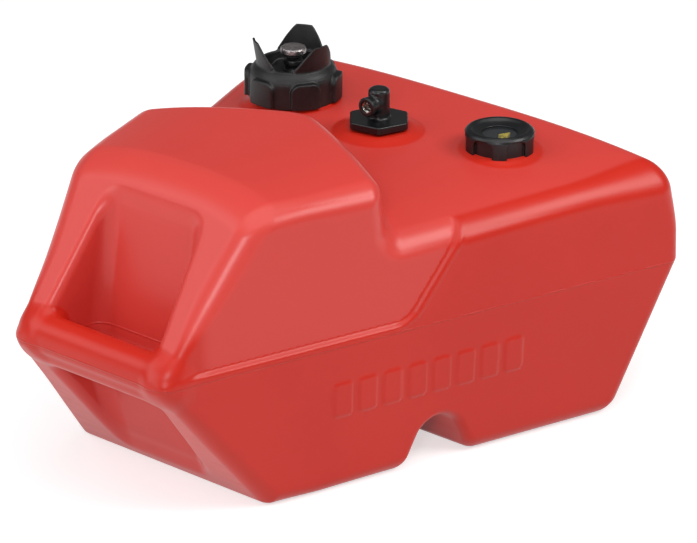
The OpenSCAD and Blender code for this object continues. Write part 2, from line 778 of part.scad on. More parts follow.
module gauge_spindle() {
  color(steel) at_gauge() {
    translate([0, 0, strip_low_z])
      linear_extrude(strip_len, twist = -twist_per_mm * strip_len, slices = 60, $fn = 12)
        square([strip_w, strip_t], center = true);
    translate([0, 0, housing_low - 1.2]) cylinder(r = shaft_r, h = pointer_z + pointer_t - housing_low + 1.2);
    translate([0, 0, foot_z]) cylinder(r = pivot_r, h = foot_t + 1);
  }
}
pivot_r = 1;
module gauge_guide_rods() {
  color(steel) at_gauge()
    for (s = [-1, 1])
      translate([s * rod_gap / 2, 0, foot_z + foot_t]) cylinder(r = rod_r, h = housing_low + 2 - foot_z - foot_t);
}
module gauge_foot() {
  color(black) at_gauge()
    difference() {
      translate([0, 0, foot_z])
        linear_extrude(foot_t) {
          square([rod_gap, 9], center = true);
          for (s = [-1, 1]) translate([s * rod_gap / 2, 0]) circle(r = 4.5);
        }
      translate([0, 0, foot_z - over]) cylinder(r = pivot_r + slip, h = foot_t + 2 * over);
    }
}
float_low = foot_z + foot_t + 6;
key_t = 1;
key_r = strip_w / 2 + 2;
module gauge_float() {
  color(black) at_gauge()
    difference() {
      translate([0, 0, float_low]) cylinder(r = float_r, h = float_h);
      translate([0, 0, float_low - over]) cylinder(r = key_r, h = float_h + 2 * over);
      for (s = [-1, 1])
        translate([s * rod_gap / 2, 0, float_low - over]) cylinder(r = rod_r + run_gap, h = float_h + 2 * over);
    }
}
// The thin slotted plate in the float that turns the strip as the float rises
module float_key() {
  at_height = float_low + float_h / 2 - strip_low_z;
  color(steel) at_gauge()
    difference() {
      translate([0, 0, float_low + (float_h - key_t) / 2]) cylinder(r = key_r, h = key_t);
      translate([0, 0, float_low])
        rotate([0, 0, twist_per_mm * at_height])
          translate([-strip_w / 2 - 0.4, -strip_t / 2 - 0.4, 0]) cube([strip_w + 0.8, strip_t + 0.8, float_h]);
    }
}

tank_shell();
filler_cap_shell();
filler_cap_liner();
filler_gasket();
vent_post();
vent_washer();
vent_screw();
vent_clip();
pickup_fitting();
pickup_o_ring();
pickup_insert();
pickup_tube();
pickup_strainer();
gauge_cap();
gauge_gasket();
gauge_housing();
gauge_dial();
gauge_lens();
gauge_pointer();
gauge_spindle();
gauge_bush();
gauge_guide_rods();
gauge_foot();
gauge_float();
float_key();
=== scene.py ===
"""Looks of a portable outboard fuel tank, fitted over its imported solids.

The nose points to -X and up is +Z. Blender works in metres. The form functions, whose names end
in _form, work in millimetres and give the distance to a surface, negative inside the solid.
"""
import json
import math
from collections import namedtuple
from functools import partial

import bpy
import numpy as np
from mathutils import Matrix, Vector

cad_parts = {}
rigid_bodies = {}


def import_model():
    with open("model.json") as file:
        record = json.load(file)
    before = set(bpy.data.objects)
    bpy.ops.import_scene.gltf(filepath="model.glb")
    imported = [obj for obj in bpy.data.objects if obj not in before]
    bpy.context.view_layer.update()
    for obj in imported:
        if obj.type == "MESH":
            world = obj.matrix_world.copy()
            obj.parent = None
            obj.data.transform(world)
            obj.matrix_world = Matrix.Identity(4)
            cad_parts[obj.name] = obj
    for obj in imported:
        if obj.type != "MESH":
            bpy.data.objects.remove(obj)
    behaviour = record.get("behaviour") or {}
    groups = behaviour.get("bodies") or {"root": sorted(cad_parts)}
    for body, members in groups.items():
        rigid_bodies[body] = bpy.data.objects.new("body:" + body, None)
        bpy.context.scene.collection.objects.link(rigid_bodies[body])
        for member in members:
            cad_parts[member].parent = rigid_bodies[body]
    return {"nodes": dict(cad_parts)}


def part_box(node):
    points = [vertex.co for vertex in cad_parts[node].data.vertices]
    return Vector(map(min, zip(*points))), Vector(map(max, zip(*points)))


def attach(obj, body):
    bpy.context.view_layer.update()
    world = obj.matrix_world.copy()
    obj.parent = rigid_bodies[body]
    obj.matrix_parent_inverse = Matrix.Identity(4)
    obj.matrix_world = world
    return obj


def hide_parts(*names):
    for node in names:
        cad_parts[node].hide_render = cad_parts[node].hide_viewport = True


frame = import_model()

bl_info = {
    "name": "Outboard Fuel Tank",
    "version": (1, 0, 0),
    "blender": (4, 5, 0),
    "location": "View3D > Sidebar > Fuel Tank",
    "description": "Builds the moulded tank, its caps, pickup and gauge over the packed solids",
    "category": "Add Mesh",
}

MM = 0.001


def span(node):
    """Lowest corner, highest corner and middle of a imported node, in millimetres."""
    low, high = (np.array(corner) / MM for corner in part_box(node))
    return low, high, (low + high) / 2


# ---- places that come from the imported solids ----
TANK_LOW, TANK_HIGH, _ = span("tank_shell")
NOSE_X, REAR_X = TANK_LOW[0], TANK_HIGH[0]
NECK_H, GAUGE_NECK_H = 15.0, 8.0
FILLER_AT = span("filler_gasket")[2]
FILLER_AT[2] = span("filler_gasket")[0][2] - NECK_H
GAUGE_AT = span("gauge_lens")[2]
GAUGE_AT[2] = span("gauge_gasket")[0][2] - GAUGE_NECK_H
PICKUP_AT = span("pickup_o_ring")[2]
PICKUP_AT[2] = span("pickup_o_ring")[0][2]


# ---- Distance arithmetic for moulded forms ----
def round_meet(a, b, radius):
    """Keeps what is inside both solids, with an outside edge rounded by about the radius."""
    over_a, over_b = np.maximum(a + radius, 0), np.maximum(b + radius, 0)
    return np.minimum(np.maximum(a, b), -radius) + np.sqrt(over_a * over_a + over_b * over_b)


def round_join(a, b, radius):
    """Joins two solids, with a fillet of about the radius where they meet."""
    return -round_meet(-a, -b, radius)


def cut_away(a, b, radius):
    """Takes the second solid out of the first, with the rim rounded by about the radius."""
    return round_meet(a, -b, radius)


def ease(value, low, high):
    """Runs smoothly from 0 at low to 1 at high."""
    share = np.clip((value - low) / (high - low), 0, 1)
    return share * share * (3 - 2 * share)


def flat(normal, through, x, y, z):
    """Distance in front of a plane that is given by its outward normal and a point."""
    length = math.sqrt(sum(n * n for n in normal))
    terms = [n / length * (v - p) for n, v, p in zip(normal, (x, y, z), through) if n]
    return sum(terms[1:], terms[0])


def fold(angle, count):
    """Brings an angle into the one sector that repeats round an axis."""
    sector = 2 * math.pi / count
    return np.mod(angle + sector / 2, sector) - sector / 2


def rounded_box(u, v, half_u, half_v, radius):
    """Distance to a rectangle with rounded corners in one plane."""
    du, dv = np.abs(u) - half_u + radius, np.abs(v) - half_v + radius
    outside = np.hypot(np.maximum(du, 0), np.maximum(dv, 0))
    return outside + np.minimum(np.maximum(du, dv), 0) - radius


def outline(points, u, v):
    """Distance to a closed outline in one plane."""
    nearest, inside = None, False
    for (u0, v0), (u1, v1) in zip(points, points[1:] + points[:1]):
        run_u, run_v = u1 - u0, v1 - v0
        from_u, from_v = u - u0, v - v0
        share = np.clip((from_u * run_u + from_v * run_v) / (run_u * run_u + run_v * run_v), 0, 1)
        square = (from_u - run_u * share) ** 2 + (from_v - run_v * share) ** 2
        nearest = square if nearest is None else np.minimum(nearest, square)
        if run_v:
            crossed = ((v0 <= v) != (v1 <= v)) & (u < u0 + from_v * run_u / run_v)
            inside = inside ^ crossed
    return np.where(inside, -1, 1) * np.sqrt(nearest)


# ---- The tank's form ----
NOSE_W, REAR_W, TANK_LEN = 161.0, 456.0, REAR_X - NOSE_X
PARTING_Z = 127.0
WALL = 4.5
SIDE_TURN = math.atan((REAR_W - NOSE_W) / 2 / TANK_LEN)
LEAN_UP, LEAN_DOWN = math.tan(math.radians(2)), math.tan(math.radians(1.4))
DECK_REAR_Z, DECK_FRONT_Z, REAR_CROWN, FRONT_CROWN = 212.5, 203.0, 9.0, 15.0
DECK_HALF, DECK_BACK, DECK_POWER = 62.0, 15, 3
HUMP_Z, HUMP_CROWN, HUMP_FRONT, HUMP_SIDE, HUMP_APEX = 253.0, 10.0, 93.0, 203.0, 273.0
HUMP_HALF, HUMP_POWER, HUMP_LEAN, HUMP_EDGE = 58.6, 2.6, math.radians(6), 12.5
APEX_SOFT, CORNER_LEAN = 10.0, 0.956
CROWN_REACH, CROWN_START = 1.08, 0.85
BASE_FRONT, BASE_REAR = 99.0, 58.0
PANEL_STEP, PANEL_START, PANEL_RUN = 3.25, 0.25, 50
LEDGE_RISE, LEDGE_BEND, LEDGE_TOP, LEDGE_R = 6.0, 219.0, 279.0, 9.0
BEAD_OUT, BEAD_HALF, BEAD_PAST = 1.3, 1.9, 6
BAR_R, BAR_HALF, BAR_BACK, BAR_IN, BAR_EDGE = 15.0, 20.0, 1.9, 0.6, 19.0
BAR_SINK, BAR_FRONT_EDGE = 0.4, 3.0
WEB_HALF, WEB_Z, WEB_WIDE = 4.0, 109.0, 58
GRIP_DEPTH, LOW_DEPTH, GRIP_HALF, GRIP_WIDE, GRIP_MARGIN = 68.0, 62.0, 47.0, 60.0, 11.0
GRIP_FOOT_R, GRIP_SLOPE_R, GRIP_SIDE_R = 8.0, 12.0, 12.0
CHANNEL_X, CHANNEL_HALF, CHANNEL_H, CHANNEL_R, CHANNEL_LEAN = 251.0, 32.0, 41.0, 11.0, math.radians(24)
CHANNEL_RIM = 6.4
TILE_FROM, TILE_TO, TILE_LOW, TILE_HIGH, TILE_COUNT = 148.0, 328.0, 65.0, 96.0, 8
TILE_SHARE, TILE_R, TILE_RISE, TILE_BEVEL = 0.39, 4.5, 1.2, (-1.2, 2.4)

# Edge radii that grow along their edge: the first radius, the growth, and where it starts and ends
REAR_TOP_R, BASE_R = (13.0, 8.0, 200, 400), (7.0, 7.0, 360, 430)
NOSE_TOP_R, REAR_SIDE_R = (5.0, 13.0, 170, 225), (5.0, 9.0, 380, 470)
# The other edge radii, what the sides' corners gain near the nose and the middle, and over which stretch
REAR_FOLD_R, NOSE_LOW_R, SIDE_R, NOSE_SIDE_R, MIDDLE_SIDE_R = 1.2, 4.0, 8.0, 4.0, 5.0
NOSE_FADE, NOSE_RISE, MIDDLE_RUN, DECK_RISE = (6, 40), (4, 60), (60, 220), (150, 212)

# Openings in the deck: the boss's radius, flank, rim and fillet, the neck's radius and height, the bore
Opening = namedtuple("Opening", "at boss flare rim fillet neck neck_h bore")
OPENINGS = (
    Opening(FILLER_AT, 33.0, 0.7, 1.6, 8.0, 28.0, NECK_H, 24.0),
    Opening(PICKUP_AT, 32.0, 0.6, 5.0, 6.0, 18.5, 0, 14.0),
    Opening(GAUGE_AT, 27.5, 0.7, 1.6, 8.0, 22.0, GAUGE_NECK_H, 18.6),
)
BOSS_DEPTH, BOSS_ROOT, ROOT_TOP, BORE_LOW, BORE_TOP = 24, 3 * WALL, 6.0, -30.0, 40.0
SMALL_R, HOLLOW_R = 0.6, 1.0


def ledge_line(back, z):
    """Distance below and behind the ledge that edges the set-in side panels."""
    low = PARTING_Z + LEDGE_RISE - z
    run, rise = LEDGE_TOP - LEDGE_BEND, DECK_REAR_Z - PARTING_Z - LEDGE_RISE
    length = math.hypot(run, rise)
    slant = (back - LEDGE_BEND) * rise / length - (z - PARTING_Z - LEDGE_RISE) * run / length
    return round_meet(low, slant, LEDGE_R)


def tile_relief(back, y, z):
    """Height of the row of blank raised tiles on the near side."""
    pitch = (TILE_TO - TILE_FROM) / TILE_COUNT
    along = np.mod(back - TILE_FROM, pitch) - pitch / 2
    height = z - (TILE_LOW + TILE_HIGH) / 2
    tile = rounded_box(along, height, pitch * TILE_SHARE, (TILE_HIGH - TILE_LOW) / 2, TILE_R)
    row = np.maximum(TILE_FROM - back, back - TILE_TO)
    return TILE_RISE * ease(-np.maximum(tile, row), *TILE_BEVEL) * (y < 0)


def side_form(back, y, z, look=None):
    """Distance outside the side walls; with a look, they have their set-in panels, ledge and tiles."""
    reach, tilt = math.cos(SIDE_TURN), math.sin(SIDE_TURN)
    across = -tilt * back + reach * (np.abs(y) - NOSE_W / 2)
    above = (across + LEAN_UP * (z - PARTING_Z)) / math.hypot(1, LEAN_UP)
    below = (across - LEAN_DOWN * (z - PARTING_Z)) / math.hypot(1, LEAN_DOWN)
    if look is None:
        return np.maximum(above, below) + PANEL_STEP
    ledge = ledge_line(back, z)
    half = look.ledge_width / MM / 2
    depth = PANEL_START + (1 - PANEL_START) * ease(back, 0, PANEL_RUN)
    step = PANEL_STEP * ease(-ledge, -half, half) * depth
    swell = np.exp(-(((ledge - half - BEAD_OUT) / BEAD_HALF) ** 2))
    bead = look.ledge_bead / MM * swell * (back < LEDGE_TOP + BEAD_PAST)
    return np.maximum(above + step, below) - bead - tile_relief(back, y, z)


def deck_form(back, y, z):
    """Distance above the rear deck, which is crowned and rises a little to the rear."""
    share = np.clip((back - HUMP_SIDE) / (TANK_LEN - HUMP_SIDE), -0.2, 1)
    edge = DECK_FRONT_Z + (DECK_REAR_Z - DECK_FRONT_Z) * share
    crown = FRONT_CROWN + (REAR_CROWN - FRONT_CROWN) * share
    half = DECK_HALF + math.tan(SIDE_TURN) * np.minimum(back, TANK_LEN - DECK_BACK)
    out = np.minimum(np.abs(y) / half, CROWN_REACH)
    return z - edge - crown * (1 - out**DECK_POWER)


def hump_form(back, y, z):
    """Distance outside the raised front's top and its two rear walls."""
    half = HUMP_HALF + math.tan(SIDE_TURN) * back
    out = np.minimum(np.abs(y) / half, CROWN_REACH)
    rear_share = np.clip((back - HUMP_FRONT) / (HUMP_APEX - HUMP_FRONT), 0, 1)
    crown = HUMP_CROWN * (CROWN_START + (1 - CROWN_START) * rear_share)
    top = z - HUMP_Z - crown * (1 - out**HUMP_POWER)
    corner = NOSE_W / 2 + math.tan(SIDE_TURN) * HUMP_SIDE - PANEL_STEP
    corner -= (HUMP_Z - PARTING_Z) * LEAN_UP / CORNER_LEAN
    lean = math.tan(HUMP_LEAN) * math.hypot(corner, HUMP_APEX - HUMP_SIDE)
    soft_y = np.sqrt(y * y + APEX_SOFT**2)
    wall = flat((corner, HUMP_APEX - HUMP_SIDE, lean), (HUMP_APEX, 0, HUMP_Z), back, soft_y, z)
    return round_meet(top, wall, HUMP_EDGE)


def recess_form(back, y, z, side):
    """The finger recess above (side 1) or below (side -1) the web behind the nose bar."""
    floor_z = WEB_Z + side * WEB_HALF
    top_z = HUMP_Z - GRIP_MARGIN if side > 0 else GRIP_MARGIN
    if side > 0:
        near, far = GRIP_DEPTH, HUMP_FRONT * (top_z - PARTING_Z) / (HUMP_Z - PARTING_Z)
    else:
        near, far = LOW_DEPTH, BASE_FRONT * (PARTING_Z - top_z) / PARTING_Z
    floor = side * (floor_z - z)
    rear_way = (side * (top_z - floor_z), 0, -side * (far - near))
    rear = flat(rear_way, (near, 0, floor_z), back, y, z)
    slope = flat((1, 0, side), (far, 0, top_z), back, y, z)
    wide = GRIP_WIDE - (GRIP_WIDE - GRIP_HALF) * np.clip(back / HUMP_FRONT, -0.2, 1.2)
    hollow = round_meet(floor, rear, GRIP_FOOT_R)
    hollow = round_meet(hollow, slope, GRIP_SLOPE_R)
    return round_meet(hollow, np.abs(y) - wide, GRIP_SIDE_R)


def front_planes(back, y, z):
    """Distances outside the nose's upper and lower slopes."""
    up = flat((PARTING_Z - HUMP_Z, 0, HUMP_FRONT), (0, 0, PARTING_Z), back, y, z)
    down = flat((-PARTING_Z, 0, -BASE_FRONT), (0, 0, PARTING_Z), back, y, z)
    return up, down


def grown(radius, value):
    """An edge radius that grows along its edge."""
    first, growth, start, end = radius
    return first + growth * ease(value, start, end)


def plain_body_form(back, y, z, look, side):
    """The tank without its bar, bosses and necks, between the given side walls."""
    top = round_join(deck_form(back, y, z), hump_form(back, y, z), look.hump_fillet / MM)
    rear_up = back - TANK_LEN
    rear_down = flat((PARTING_Z, 0, -BASE_REAR), (TANK_LEN, 0, PARTING_Z), back, y, z)
    front_up, front_down = front_planes(back, y, z)
    body = round_meet(top, round_meet(rear_up, rear_down, REAR_FOLD_R), grown(REAR_TOP_R, back))
    body = round_meet(body, -z, grown(BASE_R, back))
    body = round_meet(body, front_down, NOSE_LOW_R)
    body = round_meet(body, front_up, grown(NOSE_TOP_R, z))
    near_front = 1 - ease(-np.maximum(front_up, front_down), *NOSE_FADE)
    corner = SIDE_R + NOSE_SIDE_R * near_front * ease(np.abs(z - PARTING_Z), *NOSE_RISE)
    corner = corner + MIDDLE_SIDE_R * ease(back, *MIDDLE_RUN)
    corner = corner + grown(REAR_SIDE_R, back) * ease(z, *DECK_RISE)
    body = round_meet(body, side, corner)
    for way in (1, -1):
        body = cut_away(body, recess_form(back, y, z, way), look.rim_radius / MM)
    gap = np.abs(back - CHANNEL_X) - CHANNEL_HALF
    width = (gap + z * math.tan(CHANNEL_LEAN)) * math.cos(CHANNEL_LEAN)
    return cut_away(body, round_meet(width, z - CHANNEL_H, CHANNEL_R), CHANNEL_RIM)


def boss_form(x, y, z, hole):
    """A low round boss with a rounded rim and a conical flank."""
    reach = np.hypot(x - hole.at[0], y - hole.at[1])
    flank = (reach - hole.boss - (hole.at[2] - z) * hole.flare) / math.hypot(1, hole.flare)
    return np.maximum(round_meet(flank, z - hole.at[2], hole.rim), hole.at[2] - BOSS_DEPTH - z)


def post_form(x, y, z, at, radius, low, high):
    """An upright round post or bore."""
    reach = np.hypot(x - at[0], y - at[1])
    return np.maximum(reach - radius, np.maximum(z - at[2] - high, at[2] + low - z))


def bar_form(back, y, z):
    """The grip bar that crosses the nose in front of the recesses."""
    bar_gap = np.hypot(back - BAR_R - BAR_BACK, np.maximum(np.abs(z - PARTING_Z) - (BAR_HALF - BAR_R), 0))
    bar = round_meet(bar_gap - BAR_R, side_form(back, y, z) - PANEL_STEP + BAR_IN, BAR_EDGE)
    return round_meet(bar, front_planes(back, y, z)[1] - BAR_SINK, BAR_FRONT_EDGE)


def hollow_form(x, y, z, look, thick):
    """The space inside the tank, less the web between the recesses and the cores of the openings."""
    back = x - NOSE_X
    hollow = plain_body_form(back, y, z, look, side_form(back, y, z)) + thick
    sheet = np.abs(z - WEB_Z) - WEB_HALF - thick
    web = np.maximum(sheet, np.maximum(back - LOW_DEPTH - thick, np.abs(y) - WEB_WIDE))
    hollow = cut_away(hollow, web, HOLLOW_R)
    for hole in OPENINGS:
        low = -BOSS_ROOT - (0 if hole.neck_h else thick)
        core = post_form(x, y, z, hole.at, hole.neck, low, ROOT_TOP)
        hollow = cut_away(hollow, core, HOLLOW_R)
    return hollow


def tank_form(x, y, z, look, thick):
    """The whole moulded tank with its hollow, inside a wall of the given thickness."""
    back = x - NOSE_X
    plain = plain_body_form(back, y, z, look, side_form(back, y, z, look))
    body = round_join(plain, bar_form(back, y, z), look.bar_fillet / MM)
    for hole in OPENINGS:
        body = round_join(body, boss_form(x, y, z, hole), hole.fillet)
    for hole in OPENINGS:
        if hole.neck_h:
            neck = post_form(x, y, z, hole.at, hole.neck, -BOSS_ROOT, hole.neck_h)
            body = round_join(body, neck, SMALL_R)
    body = cut_away(body, hollow_form(x, y, z, look, thick), SMALL_R)
    for hole in OPENINGS:
        body = cut_away(body, post_form(x, y, z, hole.at, hole.bore, BORE_LOW, BORE_TOP), SMALL_R)
    return body


# ---- The fittings' forms, each round its own axis with its seat at height 0 ----
LUG_TURN, WING_TURN, SCALLOP_TURN, HEX_TURN = (math.radians(a) for a in (-3, 25, 8, 40))
LUGS, LUG_HALF, LUG_MIDDLE, LUG_RISE, LUG_ARCH, LUG_REACH, LUG_FOOT = 6, 13, 5.5, 17.5, 8.0, 42, 0.6
WINGS, WING_REACH, WING_FOOT, WING_LEAN = 3, 30, 27, math.radians(9)
CAP_R, CAP_INSIDE_R, CAP_ROOF, SHOULDER_Z = 38, 35, 17, 18
SHOULDER_IN, SHOULDER_UP, SHOULDER_END = 14, 12, math.radians(60)
CAP_FILLET, WING_EDGE, WING_FILLET = 1.2, 0.5, 1.6
SHOULDER = [
    (CAP_R - SHOULDER_IN * (1 - math.cos(a)),
     SHOULDER_Z + SHOULDER_UP * math.sin(a) / math.sin(SHOULDER_END))
    for a in np.radians(range(10, 61, 10)).tolist()
]
CAP_PROFILE = [(CAP_INSIDE_R, -1), (37.6, -1), (CAP_R, -0.5), (CAP_R, SHOULDER_Z), *SHOULDER, (30.6, 30.4),
               (28.4, 30.4), (28, 30), (27.2, 20), (5.5, 20), (5.5, CAP_ROOF), (CAP_INSIDE_R, CAP_ROOF)]
WING_HALF = [(21.5, 27), (20.5, 33), (14.6, 43), (9.2, 50), (7.0, 52)]
WING = [(-21.5, 27), *WING_HALF, *((-u, v) for u, v in WING_HALF[:0:-1])]


def filler_cap_form(x, y, z, look):
    """The filler cap: an open well with three wings round it and six lugs on the skirt."""
    reach, turn = np.hypot(x, y), np.arctan2(y, x)
    body = outline(CAP_PROFILE, reach, z)
    across = reach * np.sin(fold(turn - LUG_TURN, LUGS))
    arch = rounded_box(across, z - LUG_MIDDLE, LUG_HALF, LUG_RISE, LUG_ARCH)
    lug = round_meet(arch, reach - LUG_REACH, look.lug_edge / MM)
    cap = round_join(body, np.maximum(lug, LUG_FOOT - z), CAP_FILLET)
    cap = np.maximum(cap, -np.maximum(reach - CAP_INSIDE_R, z - CAP_ROOF))
    middle = reach - WING_REACH - (z - WING_FOOT) * math.tan(WING_LEAN)
    sheet = np.abs(middle) * math.cos(WING_LEAN) - look.wing_thickness / MM / 2
    across = reach * np.sin(fold(turn - WING_TURN, WINGS))
    wing = round_meet(outline(WING, across, z), sheet, WING_EDGE)
    return round_join(cap, wing, WING_FILLET)


GAUGE_PROFILE = [
    (22.4, -1), (29, -1), (29.5, -0.5), (29.5, 14.2), (28.9, 15.9), (27.6, 17.3), (25.9, 18.3), (24.6, 18.5),
    (23.4, 18.1), (22.3, 17.2), (21.2, 16.3), (19.6, 15.5), (17.6, 14.8), (15.6, 14.4), (15, 14.1), (15, 13),
    (22.4, 13),
]
SCALLOPS, SCALLOP_Z, SCALLOP_RISE, SCALLOP_ARCH, SCALLOP_IN = 6, 2.0, 12.6, 6.0, 26.9
SCALLOP_FOOT_R, SCALLOP_RIM = 0.8, 1.1


def gauge_cap_form(x, y, z, look):
    """The gauge's ring cap: a dished mouth and six arch-topped scallops."""
    reach, turn = np.hypot(x, y), np.arctan2(y, x)
    across = reach * np.sin(fold(turn - SCALLOP_TURN, SCALLOPS))
    arch = rounded_box(across, z - SCALLOP_Z, look.scallop_width / MM / 2, SCALLOP_RISE, SCALLOP_ARCH)
    scallop = round_meet(arch, SCALLOP_IN - reach, SCALLOP_FOOT_R)
    return cut_away(outline(GAUGE_PROFILE, reach, z), scallop, SCALLOP_RIM)


BLADE = [(4.0, -4.6), (13.8, -0.5), (13.8, 0.5), (4.0, 4.6)]
BLADE_EDGE, STEM_X, STEM_HALF, STEM_WIDE, STEM_DROP, STEM_EDGE, STEM_FILLET = (
    0.5, 3.4, 1.4, 1.1, 1.6, 0.3, 0.4)


def pointer_blade_form(x, y, z, height):
    """The raised arrowhead on the gauge's pointer, with its foot at height 0."""
    blade = round_meet(outline(BLADE, x, y), np.maximum(z - height, -z), BLADE_EDGE)
    block = np.maximum(np.abs(x - STEM_X) - STEM_HALF, np.abs(y) - STEM_WIDE)
    stem = round_meet(block, np.maximum(z - height + STEM_DROP, -z), STEM_EDGE)
    return round_join(blade, stem, STEM_FILLET)


HEX_HALF, HEX_CORNER, FLANGE_Z, FLANGE_HALF = 24.2, 2.4, 5.2, 3.3
UPRIGHT_R, UPRIGHT_LOW, UPRIGHT_TOP, UPRIGHT_EDGE = 9, 4, 34.5, 3.6
PORT_Z, PORT_LEN, PORT_DEPTH, PORT_BORE, PORT_RIM = 21.52, 17.0, 14.0, 5, 0.5
OUTLET_R, OUTLET_EDGE, COLLAR_R, COLLAR_LEN, COLLAR_EDGE = 7.4, 0.7, 8.3, 4.2, 0.9
SPIGOT_R, SPIGOT_TOP, SPIGOT_LOW, BARB_R, BARB_LOW, FUEL_BORE = 10, 5, -15.5, 3.8, -29.5, 2.5
COLLAR_FILLET, OUTLET_FILLET, FLANGE_FILLET = 1.0, 2.0, 2.4


def pickup_form(x, y, z, look):
    """The pickup: a rounded hexagonal flange, an upright and an outlet towards the nose."""
    reach = np.hypot(x, y)
    flange = None
    for turn in (30, 90, 150):
        angle = HEX_TURN + math.radians(turn)
        pair = np.abs(x * math.cos(angle) + y * math.sin(angle)) - HEX_HALF
        flange = pair if flange is None else round_meet(flange, pair, HEX_CORNER)
    flange = round_meet(flange, np.abs(z - FLANGE_Z) - FLANGE_HALF, look.flange_edge / MM)
    upright = round_meet(reach - UPRIGHT_R, np.maximum(z - UPRIGHT_TOP, UPRIGHT_LOW - z), UPRIGHT_EDGE)
    bore_gap = np.hypot(y, z - PORT_Z)
    outlet = round_meet(bore_gap - OUTLET_R, np.maximum(-PORT_LEN - x, x), OUTLET_EDGE)
    collar_ends = np.maximum(-PORT_LEN - x, x + PORT_LEN - COLLAR_LEN)
    collar = round_meet(bore_gap - COLLAR_R, collar_ends, COLLAR_EDGE)
    body = round_join(upright, round_join(outlet, collar, COLLAR_FILLET), OUTLET_FILLET)
    body = round_join(body, flange, FLANGE_FILLET)
    for radius, low in ((SPIGOT_R, SPIGOT_LOW), (BARB_R, BARB_LOW)):
        body = np.minimum(body, np.maximum(reach - radius, np.maximum(z - SPIGOT_TOP, low - z)))
    body = cut_away(body, np.maximum(bore_gap - PORT_BORE, x + PORT_LEN - PORT_DEPTH), PORT_RIM)
    body = np.maximum(body, -np.maximum(bore_gap - FUEL_BORE, x))
    return np.maximum(body, -np.maximum(reach - FUEL_BORE, z - PORT_Z))


# ---- Turning a form into a mesh ----
SLAB = 24
FIRST_REACH, LAST_REACH, RIDGE_GAIN, CREASE = 0.75, 0.5, 1.2, math.radians(38)
FITTING_RIDGE, TURN_STEPS = 0.5, 96
MOST_FACES = {
    "moulded_tank": 192000, "winged_cap": 90000, "scalloped_cap": 60000, "pickup_body": 60000,
    "pointer_blade": 20000,
}


def surface_net(form, low, high, step):
    """Points and four-sided faces of a form's surface on a grid, in millimetres."""
    low, high = np.array(low, float), np.array(high, float)
    counts = np.ceil((high - low) / step).astype(int) + 1
    xs, ys, zs = ((low[a] + step * np.arange(counts[a])).astype(np.float32) for a in range(3))
    values = np.empty(counts, np.float32)
    for start in range(0, counts[0], SLAB):
        part = slice(start, start + SLAB)
        values[part] = form(xs[part, None, None], ys[None, :, None], zs[None, None, :])
    inside = values < 0
    size = counts - 1
    total = np.zeros(size, np.int8)
    for i, j, k in np.ndindex(2, 2, 2):
        total += inside[i:i + size[0], j:j + size[1], k:k + size[2]]
    active = (total > 0) & (total < 8)
    cells = np.argwhere(active)
    number = np.full(active.shape, -1, np.int32)
    number[active] = np.arange(len(cells))
    points, hits = np.zeros((len(cells), 3)), np.zeros(len(cells))
    unit = np.eye(3, dtype=int)
    for axis in range(3):
        for i, j in np.ndindex(2, 2):
            start = unit[(axis + 1) % 3] * i + unit[(axis + 2) % 3] * j
            a = values[tuple((cells + start).T)]
            b = values[tuple((cells + start + unit[axis]).T)]
            cut = (a < 0) != (b < 0)
            points[cut] += start
            points[cut, axis] += a[cut] / (a[cut] - b[cut])
            hits[cut] += 1
    points = (cells + points / hits[:, None]) * step + low
    faces = []
    for axis in range(3):
        near = tuple(slice(0, -1) if a == axis else slice(1, -1) for a in range(3))
        far = tuple(slice(1, None) if a == axis else slice(1, -1) for a in range(3))
        at = np.argwhere(inside[near] != inside[far]) + (1 - unit[axis])
        b, c = unit[(axis + 1) % 3], unit[(axis + 2) % 3]
        ring = np.stack([number[tuple((at - o).T)] for o in (b + c, c, 0 * b, b)], 1)
        inward = ~inside[tuple(at.T)]
        ring[inward] = ring[inward][:, ::-1]
        faces.append(ring)
    return points, np.concatenate(faces)


def slopes(form, points, gap=0.2):
    """The form's gradient at the points."""
    columns = []
    for axis in range(3):
        shift = np.zeros(3)
        shift[axis] = gap
        ahead, behind = (points + shift).T, (points - shift).T
        columns.append((form(*ahead) - form(*behind)) / (2 * gap))
    return np.stack(columns, 1)


def settle(form, points, most, rounds=3):
    """Moves points on to the form's surface, none of them further than the given distance."""
    start = points.copy()
    for _ in range(rounds):
        slope = slopes(form, points)
        points = points - slope * (form(*points.T) / np.maximum((slope**2).sum(1), 0.2))[:, None]
        moved = points - start
        length = np.maximum(np.linalg.norm(moved, axis=1), 1e-9)
        points = start + moved * np.minimum(1, most / length)[:, None]
    return points


def new_mesh(name, points, faces):
    """A mesh from points and equal-sided faces, quickly."""
    mesh = bpy.data.meshes.new(name)
    sides = faces.shape[1]
    mesh.vertices.add(len(points))
    mesh.vertices.foreach_set("co", np.asarray(points, np.float32).ravel())
    mesh.loops.add(faces.size)
    mesh.loops.foreach_set("vertex_index", np.asarray(faces, np.int32).ravel())
    mesh.polygons.add(len(faces))
    mesh.polygons.foreach_set("loop_start", np.arange(0, faces.size, sides, dtype=np.int32))
    mesh.update(calc_edges=True)
    mesh.validate()
    return mesh


def add_piece(name, mesh):
    """Puts a finished mesh in the scene as a piece."""
    piece = bpy.data.objects.new(name, mesh)
    bpy.context.scene.collection.objects.link(piece)
    return piece


def settled_mesh(piece):
    """The piece's mesh with its modifiers made real; the modifiers are then removed."""
    graph = bpy.context.evaluated_depsgraph_get()
    mesh = bpy.data.meshes.new_from_object(piece.evaluated_get(graph), depsgraph=graph)
    piece.modifiers.clear()
    old, piece.data = piece.data, mesh
    bpy.data.meshes.remove(old)
    return mesh


def mesh_points(mesh):
    """The mesh's vertices as an array."""
    points = np.empty(len(mesh.vertices) * 3, np.float32)
    mesh.vertices.foreach_get("co", points)
    return points.reshape(-1, 3).astype(float)


